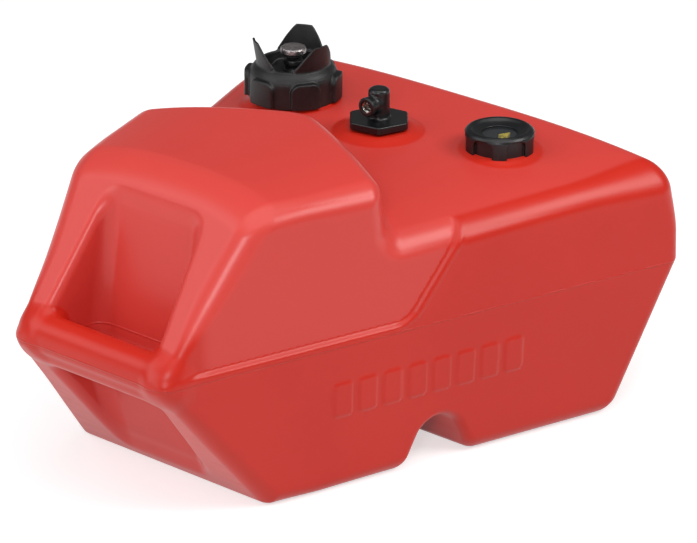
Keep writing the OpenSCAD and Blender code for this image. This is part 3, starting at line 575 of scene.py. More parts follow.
def moulded_piece(name, form, low, high, step, at=(0, 0, 0), depth=None):
    """Builds a piece whose surface follows a form, with the form's own normals.

    With a depth to feel below the surface, the vertices also get the attribute ridge, which is
    over 0.5 on outside edges and under it in corners.
    """
    points, faces = surface_net(form, low, high, step)
    if not len(faces):
        raise RuntimeError(f"{name} has no surface")
    points = settle(form, points, step * FIRST_REACH)
    piece = add_piece(name, new_mesh(name, points, faces))
    if 2 * len(faces) > MOST_FACES[name]:
        thin = piece.modifiers.new("Thin", "DECIMATE")
        thin.ratio = MOST_FACES[name] / (2 * len(faces))
        settled_mesh(piece)
        points = settle(form, mesh_points(piece.data), step * LAST_REACH)
    mesh = piece.data
    normals = slopes(form, points)
    normals /= np.maximum(np.linalg.norm(normals, axis=1), 1e-9)[:, None]
    if depth:
        bend = (form(*(points - normals * depth).T) + depth) / depth
        # The ridge mark feeds the finishes' paler edges, which are part wear and part painted highlight.
        ridge_layer = mesh.attributes.new("ridge", "FLOAT", "POINT")
        ridge_layer.data.foreach_set("value", np.clip(0.5 + bend * RIDGE_GAIN, 0, 1).astype(np.float32))
    place = np.asarray(points + np.array(at)) * MM
    mesh.vertices.foreach_set("co", place.astype(np.float32).ravel())
    mesh.shade_smooth()
    mesh.update()
    mesh.normals_split_custom_set_from_vertices(normals)
    return piece


def crease(mesh):
    """Shades a mesh smooth but for its sharp edges."""
    mesh.shade_smooth()
    mesh.set_sharp_from_angle(angle=CREASE)
    mesh.update()


def turned_piece(name, profile, at, wobble=None):
    """Turns a closed outline of (radius, height) points round an upright axis.

    Points on the axis become poles. The optional wobble moves a point (radius, height, angle).
    """
    segments = TURN_STEPS
    angles = np.arange(segments) * 2 * math.pi / segments
    points, rings = [], []
    for radius, height in profile:
        if radius < 1e-6:
            rings.append([len(points)] * segments)
            points.append((0.0, 0.0, height))
            continue
        rings.append(list(range(len(points), len(points) + segments)))
        for angle in angles:
            r, h = (radius, height) if wobble is None else wobble(radius, height, angle)
            points.append((r * math.cos(angle), r * math.sin(angle), h))
    faces = []
    for lower, upper in zip(rings, rings[1:] + rings[:1]):
        for i in range(segments):
            j = (i + 1) % segments
            corners = [lower[i], lower[j], upper[j], upper[i]]
            corners = [c for n, c in enumerate(corners) if c != corners[n - 1]]
            if len(corners) > 2:
                faces.append(corners)
    mesh = bpy.data.meshes.new(name)
    place = (np.array(points) + np.array(at)) * MM
    mesh.from_pydata(place.tolist(), [], faces)
    mesh.validate()
    crease(mesh)
    return add_piece(name, mesh)


# ---- Node trees, written as expressions ----
def overload(operation, reflected=False):
    """A method that adds a Math node for an operator, or for its reflected form."""

    def method(self, other):
        return self.maths(operation, *((other, self) if reflected else (self, other)))

    return method


class Value:
    """What a node gives. Used in an expression, it adds Math nodes."""

    __add__, __radd__ = overload("ADD"), overload("ADD", True)
    __sub__, __rsub__ = overload("SUBTRACT"), overload("SUBTRACT", True)
    __mul__, __rmul__ = overload("MULTIPLY"), overload("MULTIPLY", True)
    __truediv__, __rtruediv__ = overload("DIVIDE"), overload("DIVIDE", True)

    def __init__(self, graph, socket):
        self.graph = graph
        self.socket = socket

    def __abs__(self):
        return self.maths("ABSOLUTE", self)

    def maths(self, operation, *inputs):
        return self.graph.node("ShaderNodeMath", {"operation": operation}, dict(enumerate(inputs)))

    def over(self, low, high, first=0.0, last=1.0):
        """Runs smoothly from the first value at low to the last at high."""
        return self.graph.node("ShaderNodeMapRange", {"interpolation_type": "SMOOTHSTEP"}, {
            "Value": self, "From Min": low, "From Max": high, "To Min": first, "To Max": last})


class Graph:
    """A node tree that is built in code."""

    def __init__(self, tree):
        self.tree = tree

    def node(self, kind, settings=None, inputs=None, output=0):
        """Adds a node with its settings and its inputs' values or links, and gives one output."""
        node = self.tree.nodes.new(kind)
        for key, value in (settings or {}).items():
            setattr(node, key, value)
        for key, value in (inputs or {}).items():
            self.feed(node.inputs[key], value)
        return Value(self, node.outputs[output])

    def feed(self, socket, value):
        """Links a value that a node gives, or sets a constant."""
        if isinstance(value, Value):
            self.tree.links.new(value.socket, socket)
        else:
            socket.default_value = value


# ---- Geometry Nodes for what repeats ----
class Pattern(Graph):
    """A Geometry Nodes tree with named inputs, whose result becomes a plain mesh."""

    KINDS = {float: "NodeSocketFloat", int: "NodeSocketInt"}
    SECTION_SIDES, RING_STEPS = 6, 48

    def __init__(self, name, inputs):
        super().__init__(bpy.data.node_groups.new(name, "GeometryNodeTree"))
        sockets = self.tree.interface
        sockets.new_socket("Geometry", in_out="OUTPUT", socket_type="NodeSocketGeometry")
        self.ids = {}
        for label, default in inputs.items():
            socket = sockets.new_socket(label, in_out="INPUT", socket_type=self.KINDS[type(default)])
            socket.default_value = default
            self.ids[label] = socket.identifier
        entry = self.tree.nodes.new("NodeGroupInput")
        self.given = {label: Value(self, entry.outputs[label]) for label in inputs}
        self.values = inputs

    def geometry(self, kind, inputs):
        return self.node("GeometryNode" + kind, None, inputs)

    def vector(self, x=0.0, y=0.0, z=0.0):
        return self.node("ShaderNodeCombineXYZ", None, {0: x, 1: y, 2: z})

    def index(self):
        """The number of each copy, counted from 0."""
        return self.geometry("InputIndex", {})

    def copies(self, shape, count, place, turn=(0, 0, 0)):
        spots = self.geometry("Points", {"Count": count, "Position": place})
        return self.geometry("InstanceOnPoints", {"Points": spots, "Instance": shape, "Rotation": turn})

    def ring_of(self, shape):
        """Copies of a shape on a circle, each turned to face outwards."""
        angle = self.index() * (2 * math.pi) / self.given["Count"]
        x, y = (angle.maths(way, angle) * self.given["Radius"] for way in ("COSINE", "SINE"))
        return self.copies(shape, self.given["Count"], self.vector(x, y), self.vector(z=angle))

    def circle(self, radius, steps):
        return self.geometry("CurvePrimitiveCircle", {"Resolution": steps, "Radius": radius})

    def swept(self, line, radius, closed):
        """A thin round bar along a line."""
        section = self.circle(radius, self.SECTION_SIDES)
        return self.geometry("CurveToMesh", {"Curve": line, "Profile Curve": section, "Fill Caps": closed})

    def close(self, shape, material):
        """Ends the tree with real geometry in one material."""
        real = self.geometry("RealizeInstances", {0: shape})
        done = self.geometry("SetMaterial", {"Geometry": real, "Material": material})
        self.feed(self.tree.nodes.new("NodeGroupOutput").inputs[0], done)
        return self

    def piece(self, name, values, place):
        """Runs the tree with the given values and keeps the result as one plain mesh."""
        holder = add_piece(name, bpy.data.meshes.new(name))
        worker = holder.modifiers.new("Pattern", "NODES")
        worker.node_group = self.tree
        for label, value in {**self.values, **values}.items():
            worker[self.ids[label]] = value
        mesh = settled_mesh(holder)
        if not len(mesh.polygons):
            raise RuntimeError(f"{name} came out empty")
        mesh.transform(place)
        crease(mesh)
        return holder


def dial_marks(material):
    """Ticks round the dial card."""
    pattern = Pattern("Dial marks", {
        "Count": 24, "Radius": 0.0125, "Length": 0.0022, "Width": 0.0006, "Height": 0.0003})
    size = pattern.vector(*(pattern.given[way] for way in ("Length", "Width", "Height")))
    tick = pattern.geometry("MeshCube", {"Size": size, "Vertices X": 3, "Vertices Y": 2, "Vertices Z": 2})
    return pattern.close(pattern.ring_of(tick), material)


def thread_turns(material):
    """The ridge of a screw thread: a small profile that follows a spiral."""
    pattern = Pattern("Thread turns", {"Turns": 8.0, "Radius": 0.0049, "Length": 0.0122, "Depth": 0.0005})
    given = pattern.given
    spiral = pattern.geometry("CurveSpiral", {
        "Resolution": pattern.RING_STEPS, "Rotations": given["Turns"], "Start Radius": given["Radius"],
        "End Radius": given["Radius"], "Height": given["Length"]})
    return pattern.close(pattern.swept(spiral, given["Depth"], True), material)


def gauze_wires(material):
    """Woven wires of the strainer: upright wires in a ring, and hoops up its height."""
    pattern = Pattern("Gauze wires", {
        "Count": 40, "Hoops": 26, "Radius": 0.0078, "Height": 0.0245, "Wire": 0.00022})
    given = pattern.given
    wire = pattern.geometry("MeshCylinder", {
        "Vertices": pattern.SECTION_SIDES, "Side Segments": 1, "Radius": given["Wire"],
        "Depth": given["Height"]})
    hoop = pattern.swept(pattern.circle(given["Radius"], pattern.RING_STEPS), given["Wire"], False)
    height = (pattern.index() / (given["Hoops"] - 1.0) - 0.5) * given["Height"]
    both = pattern.tree.nodes.new("GeometryNodeJoinGeometry")
    for part in (pattern.ring_of(wire), pattern.copies(hoop, given["Hoops"], pattern.vector(z=height))):
        pattern.feed(both.inputs[0], part)
    return pattern.close(Value(pattern, both.outputs[0]), material)


# ---- Finishes ----
def tint(red, green, blue):
    """A screen colour given as 0 to 255, as the linear colour that shaders use."""
    shades = (red, green, blue)
    return *(((c / 255 + 0.055) / 1.055) ** 2.4 if c > 10 else c / 255 / 12.92 for c in shades), 1.0


class Finish(Graph):
    """A material built in code round one Principled shader."""

    def __init__(self, name):
        self.material = bpy.data.materials.new(name)
        self.material.use_nodes = True
        super().__init__(self.material.node_tree)
        self.shader = self.tree.nodes["Principled BSDF"]
        self.place = self.node("ShaderNodeTexCoord", output="Object")
        self.normal = None

    def set(self, label, value):
        self.feed(self.shader.inputs[label], value)

    def stretched(self, x, y, z):
        """The object's coordinates with each axis scaled."""
        return self.node("ShaderNodeMapping", None, {"Vector": self.place, "Scale": (x, y, z)})

    def noise(self, scale, detail=3.0, rough=0.5, place=None):
        return self.node("ShaderNodeTexNoise", None, {
            "Vector": place or self.place, "Scale": scale, "Detail": detail, "Roughness": rough})

    def cells(self, scale):
        return self.node("ShaderNodeTexVoronoi", {"feature": "F1"}, {"Vector": self.place, "Scale": scale})

    def ridge(self):
        """The mesh's own mark, over 0.5 on outside edges."""
        return self.node("ShaderNodeAttribute", {"attribute_name": "ridge"}, output="Fac")

    def mix(self, share, first, second):
        """Mixes two colours; the first may be what another node gives."""
        first = first if isinstance(first, Value) else tuple(first)
        return self.node("ShaderNodeMix", {"data_type": "RGBA"}, {0: share, 6: first, 7: tuple(second)}, 2)

    def paint(self, colour, rough, *reliefs):
        """Sets colour and roughness, then adds reliefs: height, depth in metres and strength."""
        self.set("Base Color", colour)
        self.set("Roughness", rough)
        for height, distance, strength in reliefs:
            inputs = {"Height": height, "Distance": distance, "Strength": strength}
            if self.normal:
                inputs["Normal"] = self.normal
            self.normal = self.node("ShaderNodeBump", None, inputs)
        self.set("Normal", self.normal)
        return self.material


def moulded_red(colours):
    """Blow-moulded polyethylene: satin red, paler ridges that are part rubbing wear and part painted
    highlight, fine orange peel and a parting line.
    """
    finish = Finish("Moulded red polyethylene")
    ridge = finish.ridge()
    cloud = finish.noise(7.0, 4.0)
    grime = finish.noise(38.0, 5.0, 0.6)
    red = finish.mix(cloud.over(0.35, 0.7) * 0.5, colours.body, colours.body_deep)
    # Paler red on outside edges and the ledge bead: part rubbing wear, part painted highlight.
    red = finish.mix(ridge.over(0.56, 0.9) * 0.42, red, colours.body_rub_and_highlight)
    red = finish.mix(grime.over(0.62, 0.8) * 0.12, red, colours.body_deep)
    speck = finish.noise(260.0, 2.0)
    rough = 0.31 + speck * 0.04 + cloud * 0.04 - ridge.over(0.55, 0.9) * 0.04
    finish.set("Specular IOR Level", 0.38)
    height = finish.node("ShaderNodeSeparateXYZ", None, {0: finish.place}, "Z")
    line = 1 - abs(height - PARTING_Z * MM).over(0.0003, 0.0011)
    ragged = finish.noise(180.0, 2.0, place=finish.stretched(1, 1, 0.1)).over(0.35, 0.6)
    return finish.paint(
        red, rough, (finish.noise(16.0, 1.0), 0.0007, 0.3), (finish.noise(330.0, 2.0), 0.00006, 0.6),
        (line * (0.55 + ragged * 0.45), 0.0005, 0.8))


def grained_black(colours):
    """The filler cap's grained black plastic, greyed on its edges and tops, partly by handling and partly by a
    painted highlight.
    """
    finish = Finish("Grained black plastic")
    dust = finish.noise(60.0, 5.0, 0.65)
    black = finish.mix(dust.over(0.42, 0.72) * 0.5, colours.cap, colours.cap_dusty)
    # Grey on outside edges: part rubbing wear, part painted highlight.
    black = finish.mix(finish.ridge().over(0.7, 1.0) * 0.3, black, colours.cap_rub_and_highlight)
    return finish.paint(
        black, 0.42 + dust * 0.12, (finish.noise(900.0, 3.0, 0.6), 0.00016, 0.75),
        (finish.cells(700.0), 0.00008, 0.4))


def plain_black(name, colour, rough):
    """Smoother black plastic with a fine sheen."""
    finish = Finish(name)
    cloud = finish.noise(55.0, 4.0)
    dull = *(c * 1.9 for c in colour[:3]), 1.0
    return finish.paint(
        finish.mix(cloud.over(0.4, 0.75) * 0.4, colour, dull), rough + cloud * 0.12,
        (finish.noise(1100.0, 2.0), 0.00005, 0.6), (finish.noise(140.0, 2.0), 0.0001, 0.35))


def hammered_zinc():
    """The vent screw's cast head, beaten and brushed."""
    finish = Finish("Hammered zinc")
    scuff = finish.noise(420.0, 4.0, 0.65)
    finish.set("Metallic", 0.95 - scuff.over(0.6, 0.85) * 0.3)
    return finish.paint(
        finish.mix(scuff.over(0.35, 0.7), tint(186, 178, 178), tint(128, 120, 122)), 0.3 + scuff * 0.2,
        (finish.cells(620.0), 0.0004, 0.6), (scuff, 0.00012, 0.7))


def drawn_metal(name, light, dark, rough):
    """Turned or drawn metal with fine rings round an upright axis."""
    finish = Finish(name)
    rings = finish.noise(900.0, 3.0, place=finish.stretched(0.15, 0.15, 1))
    stain = finish.noise(120.0, 4.0, 0.6)
    finish.set("Metallic", 1.0 - stain.over(0.7, 0.9) * 0.15)
    return finish.paint(finish.mix(stain.over(0.4, 0.75), light, dark),
                        rough + rings * 0.16, (rings, 0.00005, 0.6))


def seal_rubber():
    """Dull moulded rubber with a faint bloom."""
    finish = Finish("Seal rubber")
    bloom = finish.noise(240.0, 5.0, 0.6)
    return finish.paint(finish.mix(bloom.over(0.45, 0.8), tint(20, 20, 20), tint(52, 51, 50)),
                        0.62 + bloom * 0.2, (finish.noise(1300.0, 2.0), 0.00008, 0.7))


def foam_black():
    """Closed-cell foam of the float."""
    finish = Finish("Closed-cell foam")
    tone = finish.noise(90.0, 3.0)
    return finish.paint(finish.mix(tone.over(0.3, 0.7), tint(24, 24, 25), tint(48, 47, 47)),
                        0.8 + tone * 0.12, (finish.cells(520.0), 0.0005, 0.8))


def dial_card():
    """A matt black printed card."""
    finish = Finish("Dial card")
    paper = finish.noise(700.0, 3.0)
    return finish.paint(finish.mix(paper.over(0.3, 0.7), tint(18, 18, 19), tint(30, 30, 31)),
                        0.6 + paper * 0.1, (paper, 0.00003, 0.5))


def bright_paint(name, light, dark):
    """Glossy bright plastic or print with slight mottling."""
    finish = Finish(name)
    cloud = finish.noise(300.0, 3.0)
    return finish.paint(finish.mix(cloud.over(0.35, 0.7), light, dark),
                        0.35 + cloud * 0.1, (cloud, 0.00004, 0.5))


def smoked_lens():
    """The gauge's clear window, faintly smoked and scuffed."""
    finish = Finish("Smoked window")
    scuff = finish.noise(260.0, 4.0, 0.6)
    finish.set("Alpha", 0.2 + scuff.over(0.6, 0.85) * 0.1)
    return finish.paint(tint(92, 96, 100), 0.05 + scuff * 0.08, (scuff, 0.00002, 0.4))


def frosted_tube():
    """The dip tube's black polyethylene with a drawn lustre along its length."""
    finish = Finish("Dip tube plastic")
    drawn = finish.noise(600.0, 2.0, place=finish.stretched(1, 1, 0.05))
    return finish.paint(finish.mix(drawn.over(0.3, 0.7), tint(30, 30, 31), tint(46, 46, 47)),
                        0.4 + drawn * 0.15, (drawn, 0.00005, 0.6))


# ---- Sizes and colours that a user would change ----
def length_property(label, words, default, low, high):
    return bpy.props.FloatProperty(name=label, description=words, default=default, min=low, max=high,
                                   subtype="DISTANCE", unit="LENGTH", precision=5)


def colour_property(label, words, default):
    return bpy.props.FloatVectorProperty(name=label, description=words, default=default, size=4,
                                         min=0.0, max=1.0, subtype="COLOR")


def power_property(label, words, default):
    return bpy.props.FloatProperty(name=label, description=words, default=default, min=0.0, max=500.0,
                                   unit="POWER")


def brightness_property(label, words, default):
    return bpy.props.FloatProperty(name=label, description=words, default=default, min=0.0, max=2.0,
                                   subtype="FACTOR")


def group_property(kind, label, words):
    return bpy.props.PointerProperty(type=kind, name=label, description=words)


class FuelTankBodyLook(bpy.types.PropertyGroup):
    grid: length_property("Grid", "Spacing of the grid that the tank is drawn on", 0.0022, 0.0015, 0.006)
    ledge_width: length_property("Ledge width", "Width of the ledge round the side panel", 0.0045, 0.002, 0.01)
    ledge_bead: length_property("Ledge bead", "Height of the bead along the ledge", 0.0005, 0.0, 0.0012)
    rim_radius: length_property("Recess rim", "Rounding of the finger recesses' rims", 0.0075, 0.003, 0.01)
    bar_fillet: length_property("Bar fillet", "Fillet where the nose bar meets the tank", 0.009, 0.001, 0.014)
    hump_fillet: length_property("Hump fillet", "Fillet at the foot of the raised front", 0.012, 0.003, 0.02)


class FuelTankCapLook(bpy.types.PropertyGroup):
    grid: length_property("Grid", "Spacing of the grid of the fittings", 0.00075, 0.0005, 0.002)
    lug_edge: length_property("Lug edge", "Rounding of the filler cap's lugs", 0.0013, 0.0005, 0.003)
    wing_thickness: length_property("Wing thickness", "Thickness of the cap's wings", 0.002, 0.0015, 0.003)
    scallop_width: length_property("Scallop width", "Width of the gauge cap's scallops", 0.017, 0.012, 0.022)
    flange_edge: length_property("Flange edge", "Rounding of the pickup flange's edge", 0.0012, 0.0005, 0.002)


class FuelTankColours(bpy.types.PropertyGroup):
    body: colour_property("Body", "Red of the tank", tint(204, 40, 24))
    body_deep: colour_property("Body deep", "Deeper red of the tank's mottling", tint(193, 33, 20))
    # Paler red painted on the ridges: part rubbing wear, part painted highlight.
    body_rub_and_highlight: colour_property("Body worn", "Paler red of the tank's rubbed ridges", tint(232, 96, 92))
    cap: colour_property("Cap", "Black of the filler cap", tint(12, 10, 11))
    cap_dusty: colour_property("Cap dusty", "Dusty grey of the filler cap", tint(34, 31, 31))
    # Grey painted on the cap's edges: part rubbing wear, part painted highlight.
    cap_rub_and_highlight: colour_property("Cap worn", "Grey of the filler cap's rubbed edges", tint(150, 142, 140))
    fitting: colour_property("Fitting", "Black of the pickup and the gauge cap", tint(15, 16, 18))


class FuelTankStage(bpy.types.PropertyGroup):
    floor: colour_property("Floor", "Pale colour of the floor", (0.62, 0.62, 0.62, 1.0))
    floor_lift: colour_property("Floor lift", "Lift of the seen floor to white", (0.6, 0.6, 0.6, 1.0))
    top: power_property("Top light", "Power of the large soft light overhead", 28.0)
    key: power_property("Key light", "Power of the soft light behind the nose", 18.0)
    front: power_property("Front light", "Power of the soft light beside the camera", 23.0)
    nose: power_property("Nose light", "Power of the low soft light ahead of the nose", 16.0)
    side: power_property("Side light", "Power of the soft light on the near side", 30.0)
    ceiling: brightness_property("Ceiling", "Brightness of the room's ceiling", 0.14)
    walls: brightness_property("Walls", "Brightness of the room's walls", 0.72)


class FuelTankLook(bpy.types.PropertyGroup):
    body: group_property(FuelTankBodyLook, "Body", "Sizes of the tank's body")
    cap: group_property(FuelTankCapLook, "Caps", "Sizes of the caps and fittings")
    colours: group_property(FuelTankColours, "Colours", "Colours of the pieces")
    stage: group_property(FuelTankStage, "Stage", "Floor and lights")


# ---- Pieces ----
def dress(material, *nodes):
    """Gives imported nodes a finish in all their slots."""
    for node in nodes:
        slots = frame["nodes"][node].data.materials
        for number in range(len(slots)):
            slots[number] = material
        if not len(slots):
            slots.append(material)


def fit_piece(piece, body, slot, material=None, *stands_for):
    """Gives a new piece its body, its finish if it has none, and the nodes it stands for; the slot is not
    used.
    """
    if material:
        piece.data.materials.append(material)
    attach(piece, body)
    if stands_for:
        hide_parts(*stands_for)


class FUELTANK_OT_body(bpy.types.Operator):
    """Build the moulded tank body with its hollow, necks and bosses"""

    bl_idname = "fueltank.body"
    bl_label = "Tank Body"

    QUICK_GRID, WALL_STEPS, MARGIN_STEPS, RIDGE_DEPTH = 3.0, 2.4, 2.5, 3.0

    def execute(self, context):
        look = context.scene.fuel_tank_look
        step = look.body.grid / MM
        # A wall thinner than this would fall between the points of the grid.
        form = partial(tank_form, look=look.body, thick=max(WALL, self.WALL_STEPS * step))
        margin = self.MARGIN_STEPS * step
        piece = moulded_piece("moulded_tank", form, TANK_LOW - margin, TANK_HIGH + margin, step,
                              depth=self.RIDGE_DEPTH)
        fit_piece(piece, "tank", "tank_red", moulded_red(look.colours), "tank_shell")
        return {"FINISHED"}


class FUELTANK_OT_filler_cap(bpy.types.Operator):
    """Build the filler cap and finish its liner and gasket"""

    bl_idname = "fueltank.filler_cap"
    bl_label = "Filler Cap"

    def execute(self, context):
        look = context.scene.fuel_tank_look
        piece = moulded_piece("winged_cap", partial(filler_cap_form, look=look.cap), (-44.5, -44.5, -2.2),
                              (44.5, 44.5, 54), look.cap.grid / MM, FILLER_AT, FITTING_RIDGE)
        fit_piece(piece, "filler_cap", "cap_black", grained_black(look.colours), "filler_cap_shell")
        dress(plain_black("Cap liner plastic", tint(30, 30, 31), 0.45), "filler_cap_liner")
        dress(seal_rubber(), "filler_gasket")
        return {"FINISHED"}


POST_BORE = 2.48
POST_PROFILE = [
    (POST_BORE, 15.5), (5.42, 15.5), (5.42, 20.0), (8.7, 20.0), (9.0, 20.4), (9.0, 23.4), (8.6, 24.0),
    (7.3, 24.2), (7.0, 24.6), (7.0, 27.4), (7.6, 28.2), (8.5, 28.8), (8.5, 31.9), (8.1, 32.6), (7.0, 32.8),
    (6.2, 33.4), (6.2, 35.6), (5.8, 36.0), (POST_BORE, 36.0),
]
SCREW_R, HEAD_LOW, HEAD_TOP, DOME_R, DOME_DROP, DOME_TOP = 2.4, 38.5, 44.5, 8.2, 0.75, 44.45
HEAD_RIM = [
    (10.4, HEAD_LOW), (11.0, 39.2), (11.0, 42.0), (10.8, 42.8), (10.2, 43.4), (9.2, 43.7), (DOME_R, 43.75),
]
HEAD_DOME = [(r, DOME_TOP - (r / DOME_R) ** 2 * DOME_DROP) for r in (7.0, 5.8, 4.6, 3.4, 2.2, 1.0)]
BEAT_DEPTH, BEAT_SIDE, BEAT_FROM, BEAT_RIM_R, BEAT_TOP = 0.16, 0.6, 39, 9, 43


def beaten(radius, height, angle):
    """Moves a point of the screw's head a little, as if it was beaten."""
    if height < BEAT_FROM or radius < 1:
        return radius, height
    dent = BEAT_DEPTH * math.sin(7 * angle + radius * 1.7) * math.sin(3 * angle - radius)
    return radius + dent * BEAT_SIDE * (radius > BEAT_RIM_R), height + dent * (height > BEAT_TOP)


class FUELTANK_OT_vent(bpy.types.Operator):
    """Build the vent post and screw and finish the washer and clip"""

    bl_idname = "fueltank.vent"
    bl_label = "Vent Screw"

    def execute(self, context):
        post = turned_piece("stepped_post", POST_PROFILE, FILLER_AT)
        black = plain_black("Vent post plastic", tint(22, 20, 21), 0.3)
        fit_piece(post, "filler_cap", "cap_black", black, "vent_post")
        foot = span("vent_screw")[0][2] - FILLER_AT[2]
        stem = [(0, foot), (SCREW_R, foot), (SCREW_R, HEAD_LOW)]
        profile = [*stem, *HEAD_RIM, *HEAD_DOME, (0, HEAD_TOP)]
        screw = turned_piece("vent_screw_head", profile, FILLER_AT, beaten)
        fit_piece(screw, "vent_knob", "screw_steel", hammered_zinc(), "vent_screw")
        dress(seal_rubber(), "vent_washer")
        dress(drawn_metal("Spring steel", tint(150, 148, 146), tint(96, 94, 93), 0.3), "vent_clip")
        return {"FINISHED"}


class FUELTANK_OT_pickup(bpy.types.Operator):
    """Build the fuel pickup, its threaded port and the strainer's gauze"""

    bl_idname = "fueltank.pickup"
    bl_label = "Fuel Pickup"

    THREAD_START, WIRE_LIFT, GAUZE_ENDS = 0.0006, 0.00005, 0.6

    def execute(self, context):
        look = context.scene.fuel_tank_look
        fitting = moulded_piece("pickup_body", partial(pickup_form, look=look.cap), (-30, -30, -31),
                                (30, 30, 36.5), look.cap.grid / MM, PICKUP_AT)
        black = plain_black("Pickup plastic", look.colours.fitting, 0.26)
        fit_piece(fitting, "tank", "fitting_black", black, "pickup_fitting")
        steel = drawn_metal("Port thread metal", tint(214, 210, 200), tint(150, 146, 138), 0.18)
        start = Vector(PICKUP_AT * MM) + Vector((-PORT_LEN * MM + self.THREAD_START, 0, PORT_Z * MM))
        turn = Matrix.Rotation(math.radians(90), 4, "Y")
        thread = thread_turns(steel).piece("port_thread", {}, Matrix.Translation(start) @ turn)
        fit_piece(thread, "tank", "fitting_black")
        dress(seal_rubber(), "pickup_o_ring")
        brass = drawn_metal("Turned brass", tint(214, 178, 104), tint(160, 122, 62), 0.22)
        dress(brass, "pickup_insert")
        dress(frosted_tube(), "pickup_tube")
        dress(drawn_metal("Gauze body", tint(176, 148, 92), tint(120, 96, 54), 0.4), "pickup_strainer")
        low, high, middle = span("pickup_strainer")
        size = {"Radius": (high[0] - low[0]) / 2 * MM - self.WIRE_LIFT,
                "Height": (high[2] - low[2] - self.GAUZE_ENDS) * MM}
        gauze = gauze_wires(brass).piece("strainer_gauze", size, Matrix.Translation(Vector(middle * MM)))
        fit_piece(gauze, "tank", "strainer_brass")
        return {"FINISHED"}


class FUELTANK_OT_gauge(bpy.types.Operator):
    """Build the gauge's cap, dial marks and pointer and finish its cup and window"""

    bl_idname = "fueltank.gauge"
    bl_label = "Gauge"

    GRID_SHARE, MARKS_LIFT, BLADE_SINK, LENS_GAP, BLADE_GRID = 0.8, 0.00014, 0.2, 0.8, 0.4

    def execute(self, context):
        look = context.scene.fuel_tank_look
        cap = moulded_piece("scalloped_cap", partial(gauge_cap_form, look=look.cap), (-31.5, -31.5, -2.2),
                            (31.5, 31.5, 20), look.cap.grid * self.GRID_SHARE / MM, GAUGE_AT, FITTING_RIDGE)
        black = plain_black("Gauge cap plastic", look.colours.fitting, 0.3)
        fit_piece(cap, "gauge_ring", "cap_black", black, "gauge_cap")
        dress(seal_rubber(), "gauge_gasket")
        dress(plain_black("Gauge cup plastic", tint(24, 24, 25), 0.4), "gauge_housing")
        dress(dial_card(), "gauge_dial")
        dress(smoked_lens(), "gauge_lens")
        white = bright_paint("Dial print", tint(226, 224, 214), tint(206, 203, 192))
        middle = Vector((GAUGE_AT[0], GAUGE_AT[1], span("gauge_dial")[1][2])) * MM
        place = Matrix.Translation(middle + Vector((0, 0, self.MARKS_LIFT)))
        fit_piece(dial_marks(white).piece("dial_ticks", {}, place), "tank", "dial_dark")
        yellow = bright_paint("Pointer yellow", tint(238, 214, 66), tint(222, 196, 44))
        dress(yellow, "gauge_pointer")
        foot = span("gauge_pointer")[1][2] - self.BLADE_SINK
        height = span("gauge_lens")[0][2] - self.LENS_GAP - foot
        blade = moulded_piece("pointer_blade", partial(pointer_blade_form, height=height), (1, -6, -1),
                              (15, 6, height + 1), self.BLADE_GRID, (GAUGE_AT[0], GAUGE_AT[1], foot))
        fit_piece(blade, "pointer", "pointer_yellow", yellow)
        return {"FINISHED"}


class FUELTANK_OT_float(bpy.types.Operator):
    """Finish the float, its rods and the strip that turns the pointer"""

    bl_idname = "fueltank.float"
    bl_label = "Float and Rods"

    def execute(self, context):
        steel = drawn_metal("Drawn steel", tint(176, 174, 172), tint(118, 116, 114), 0.24)
        dress(steel, "gauge_spindle", "gauge_guide_rods", "float_key")
        dress(drawn_metal("Bush brass", tint(206, 170, 98), tint(152, 116, 60), 0.26), "gauge_bush")
        dress(plain_black("Gauge foot plastic", tint(26, 26, 27), 0.45), "gauge_foot")
        dress(foam_black(), "gauge_float")
        return {"FINISHED"}


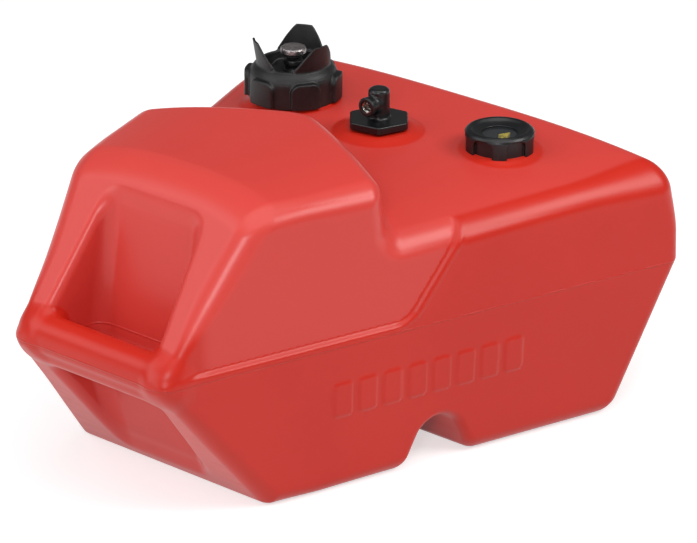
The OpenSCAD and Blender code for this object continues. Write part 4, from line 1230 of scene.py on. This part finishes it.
class FUELTANK_OT_stage(bpy.types.Operator):
    """Set up the pale floor, the soft studio light and the camera"""

    bl_idname = "fueltank.stage"
    bl_label = "Stage"

    FLOOR_HALF, FLOOR_SIDES = 7.0, 32
    HORIZON = (-0.1, 0.15)
    AIM = Vector((0.0, 0.0, 0.13))
    WARM, COOL, PALE = (1.0, 0.99, 0.98), (0.95, 0.975, 1.0), (0.94, 0.97, 1.0)
    CAMERA_AT = (-2.0938, -1.8322, 1.3284)
    CAMERA_YAW, CAMERA_PITCH, CAMERA_ROLL = 0.7010128, 0.4071017, -0.0067704
    CAMERA_LENS, SENSOR_WIDTH = 189.76, 36.0

    def execute(self, context):
        stage = context.scene.fuel_tank_look.stage
        context.scene.view_settings.view_transform = "Standard"
        self.floor(stage)
        self.room(context, stage)
        # Name, direction from the tank, distance, size, power and colour
        self.light("top_soft", (-0.15, -0.25, 1.0), 2.4, (2.2, 2.2), stage.top, self.WARM)
        self.light("key_soft", (-0.60, 0.50, 0.66), 2.6, (1.7, 1.7), stage.key, self.COOL)
        self.light("front_soft", (-0.76, -0.50, 0.45), 3.4, (0.45, 0.45), stage.front, self.PALE)
        self.light("nose_soft", (-1.0, 0.25, 0.32), 2.8, (1.4, 1.4), stage.nose, self.COOL)
        self.light("side_soft", (0.40, -0.75, 0.72), 2.6, (1.3, 1.0), stage.side, self.WARM)
        self.camera(context)
        return {"FINISHED"}

    def floor(self, stage):
        angles = np.arange(self.FLOOR_SIDES) * 2 * math.pi / self.FLOOR_SIDES
        points = [(self.FLOOR_HALF * math.cos(a), self.FLOOR_HALF * math.sin(a), 0.0) for a in angles]
        mesh = bpy.data.meshes.new("studio_floor")
        mesh.from_pydata(points, [], [list(range(self.FLOOR_SIDES))])
        floor = add_piece("studio_floor", mesh)
        finish = Finish("Studio floor")
        lift = finish.mix(self.seen(finish), (0, 0, 0, 1), stage.floor_lift)
        for label, value in {"Base Color": tuple(stage.floor), "Roughness": 1.0, "Specular IOR Level": 0.0,
                             "Emission Color": lift, "Emission Strength": 1.0}.items():
            finish.set(label, value)
        mesh.materials.append(finish.material)

    def seen(self, finish):
        """1 for rays that show the floor in the picture, itself or in a mirror, and 0 for the rest."""
        path = finish.tree.nodes.new("ShaderNodeLightPath")
        kinds = ("Is Camera Ray", "Is Glossy Ray", "Is Transmission Ray")
        camera, glossy, through = (Value(finish, path.outputs[kind]) for kind in kinds)
        return camera.maths("MINIMUM", camera + glossy + through, 1.0)

    def room(self, context, stage):
        """White walls that fall off to a dimmer ceiling."""
        world = bpy.data.worlds.new("Room")
        world.use_nodes = True
        context.scene.world = world
        room = Graph(world.node_tree)
        way = room.node("ShaderNodeTexCoord", output="Generated")
        height = room.node("ShaderNodeSeparateXYZ", None, {0: way}, "Z")
        back = room.tree.nodes["Background"]
        room.feed(back.inputs["Color"], (1, 1, 1, 1))
        room.feed(back.inputs["Strength"], height.over(*self.HORIZON, stage.walls, stage.ceiling))

    def light(self, name, way, distance, size, power, colour):
        """A soft rectangular light in the given direction, turned to the tank."""
        lamp = bpy.data.lights.new(name, "AREA")
        lamp.shape = "RECTANGLE"
        lamp.size, lamp.size_y = size
        lamp.energy, lamp.color = power, colour
        holder = bpy.data.objects.new(name, lamp)
        holder.location = self.AIM + Vector(way).normalized() * distance
        holder.rotation_euler = (self.AIM - holder.location).to_track_quat("-Z", "Y").to_euler()
        bpy.context.scene.collection.objects.link(holder)

    def camera(self, context):
        lens = bpy.data.cameras.new("photo_view")
        lens.lens, lens.sensor_width = self.CAMERA_LENS, self.SENSOR_WIDTH
        holder = bpy.data.objects.new("photo_view", lens)
        turn = Matrix.Rotation(self.CAMERA_YAW - math.pi / 2, 3, "Z")
        turn = turn @ Matrix.Rotation(math.pi / 2 - self.CAMERA_PITCH, 3, "X")
        holder.rotation_euler = (turn @ Matrix.Rotation(-self.CAMERA_ROLL, 3, "Z")).to_euler()
        holder.location = self.CAMERA_AT
        context.scene.collection.objects.link(holder)
        context.scene.camera = holder


OPERATORS = (
    FUELTANK_OT_stage, FUELTANK_OT_body, FUELTANK_OT_filler_cap, FUELTANK_OT_vent, FUELTANK_OT_pickup,
    FUELTANK_OT_gauge, FUELTANK_OT_float,
)


class FUELTANK_PT_panel(bpy.types.Panel):
    """Lists the tank's pieces and the sizes and colours that can be changed"""

    bl_idname = "FUELTANK_PT_panel"
    bl_label = "Fuel Tank"
    bl_space_type = "VIEW_3D"
    bl_region_type = "UI"
    bl_category = "Fuel Tank"

    def draw(self, context):
        look = context.scene.fuel_tank_look
        for group in (look.body, look.cap, look.colours, look.stage):
            box = self.layout.box()
            for key in group.bl_rna.properties.keys():
                if key not in {"rna_type", "name"}:
                    box.prop(group, key)
        for operator in OPERATORS:
            self.layout.operator(operator.bl_idname)


CLASSES = (
    FuelTankBodyLook, FuelTankCapLook, FuelTankColours, FuelTankStage, FuelTankLook, *OPERATORS,
    FUELTANK_PT_panel,
)


def register():
    for item in CLASSES:
        bpy.utils.register_class(item)
    bpy.types.Scene.fuel_tank_look = bpy.props.PointerProperty(type=FuelTankLook)


def unregister():
    del bpy.types.Scene.fuel_tank_look
    for item in reversed(CLASSES):
        bpy.utils.unregister_class(item)


def main():
    """Builds every piece in order."""
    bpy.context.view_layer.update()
    register()
    for operator in OPERATORS:
        group, name = operator.bl_idname.split(".")
        getattr(getattr(bpy.ops, group), name)()


if __name__ == "__main__":
    main()
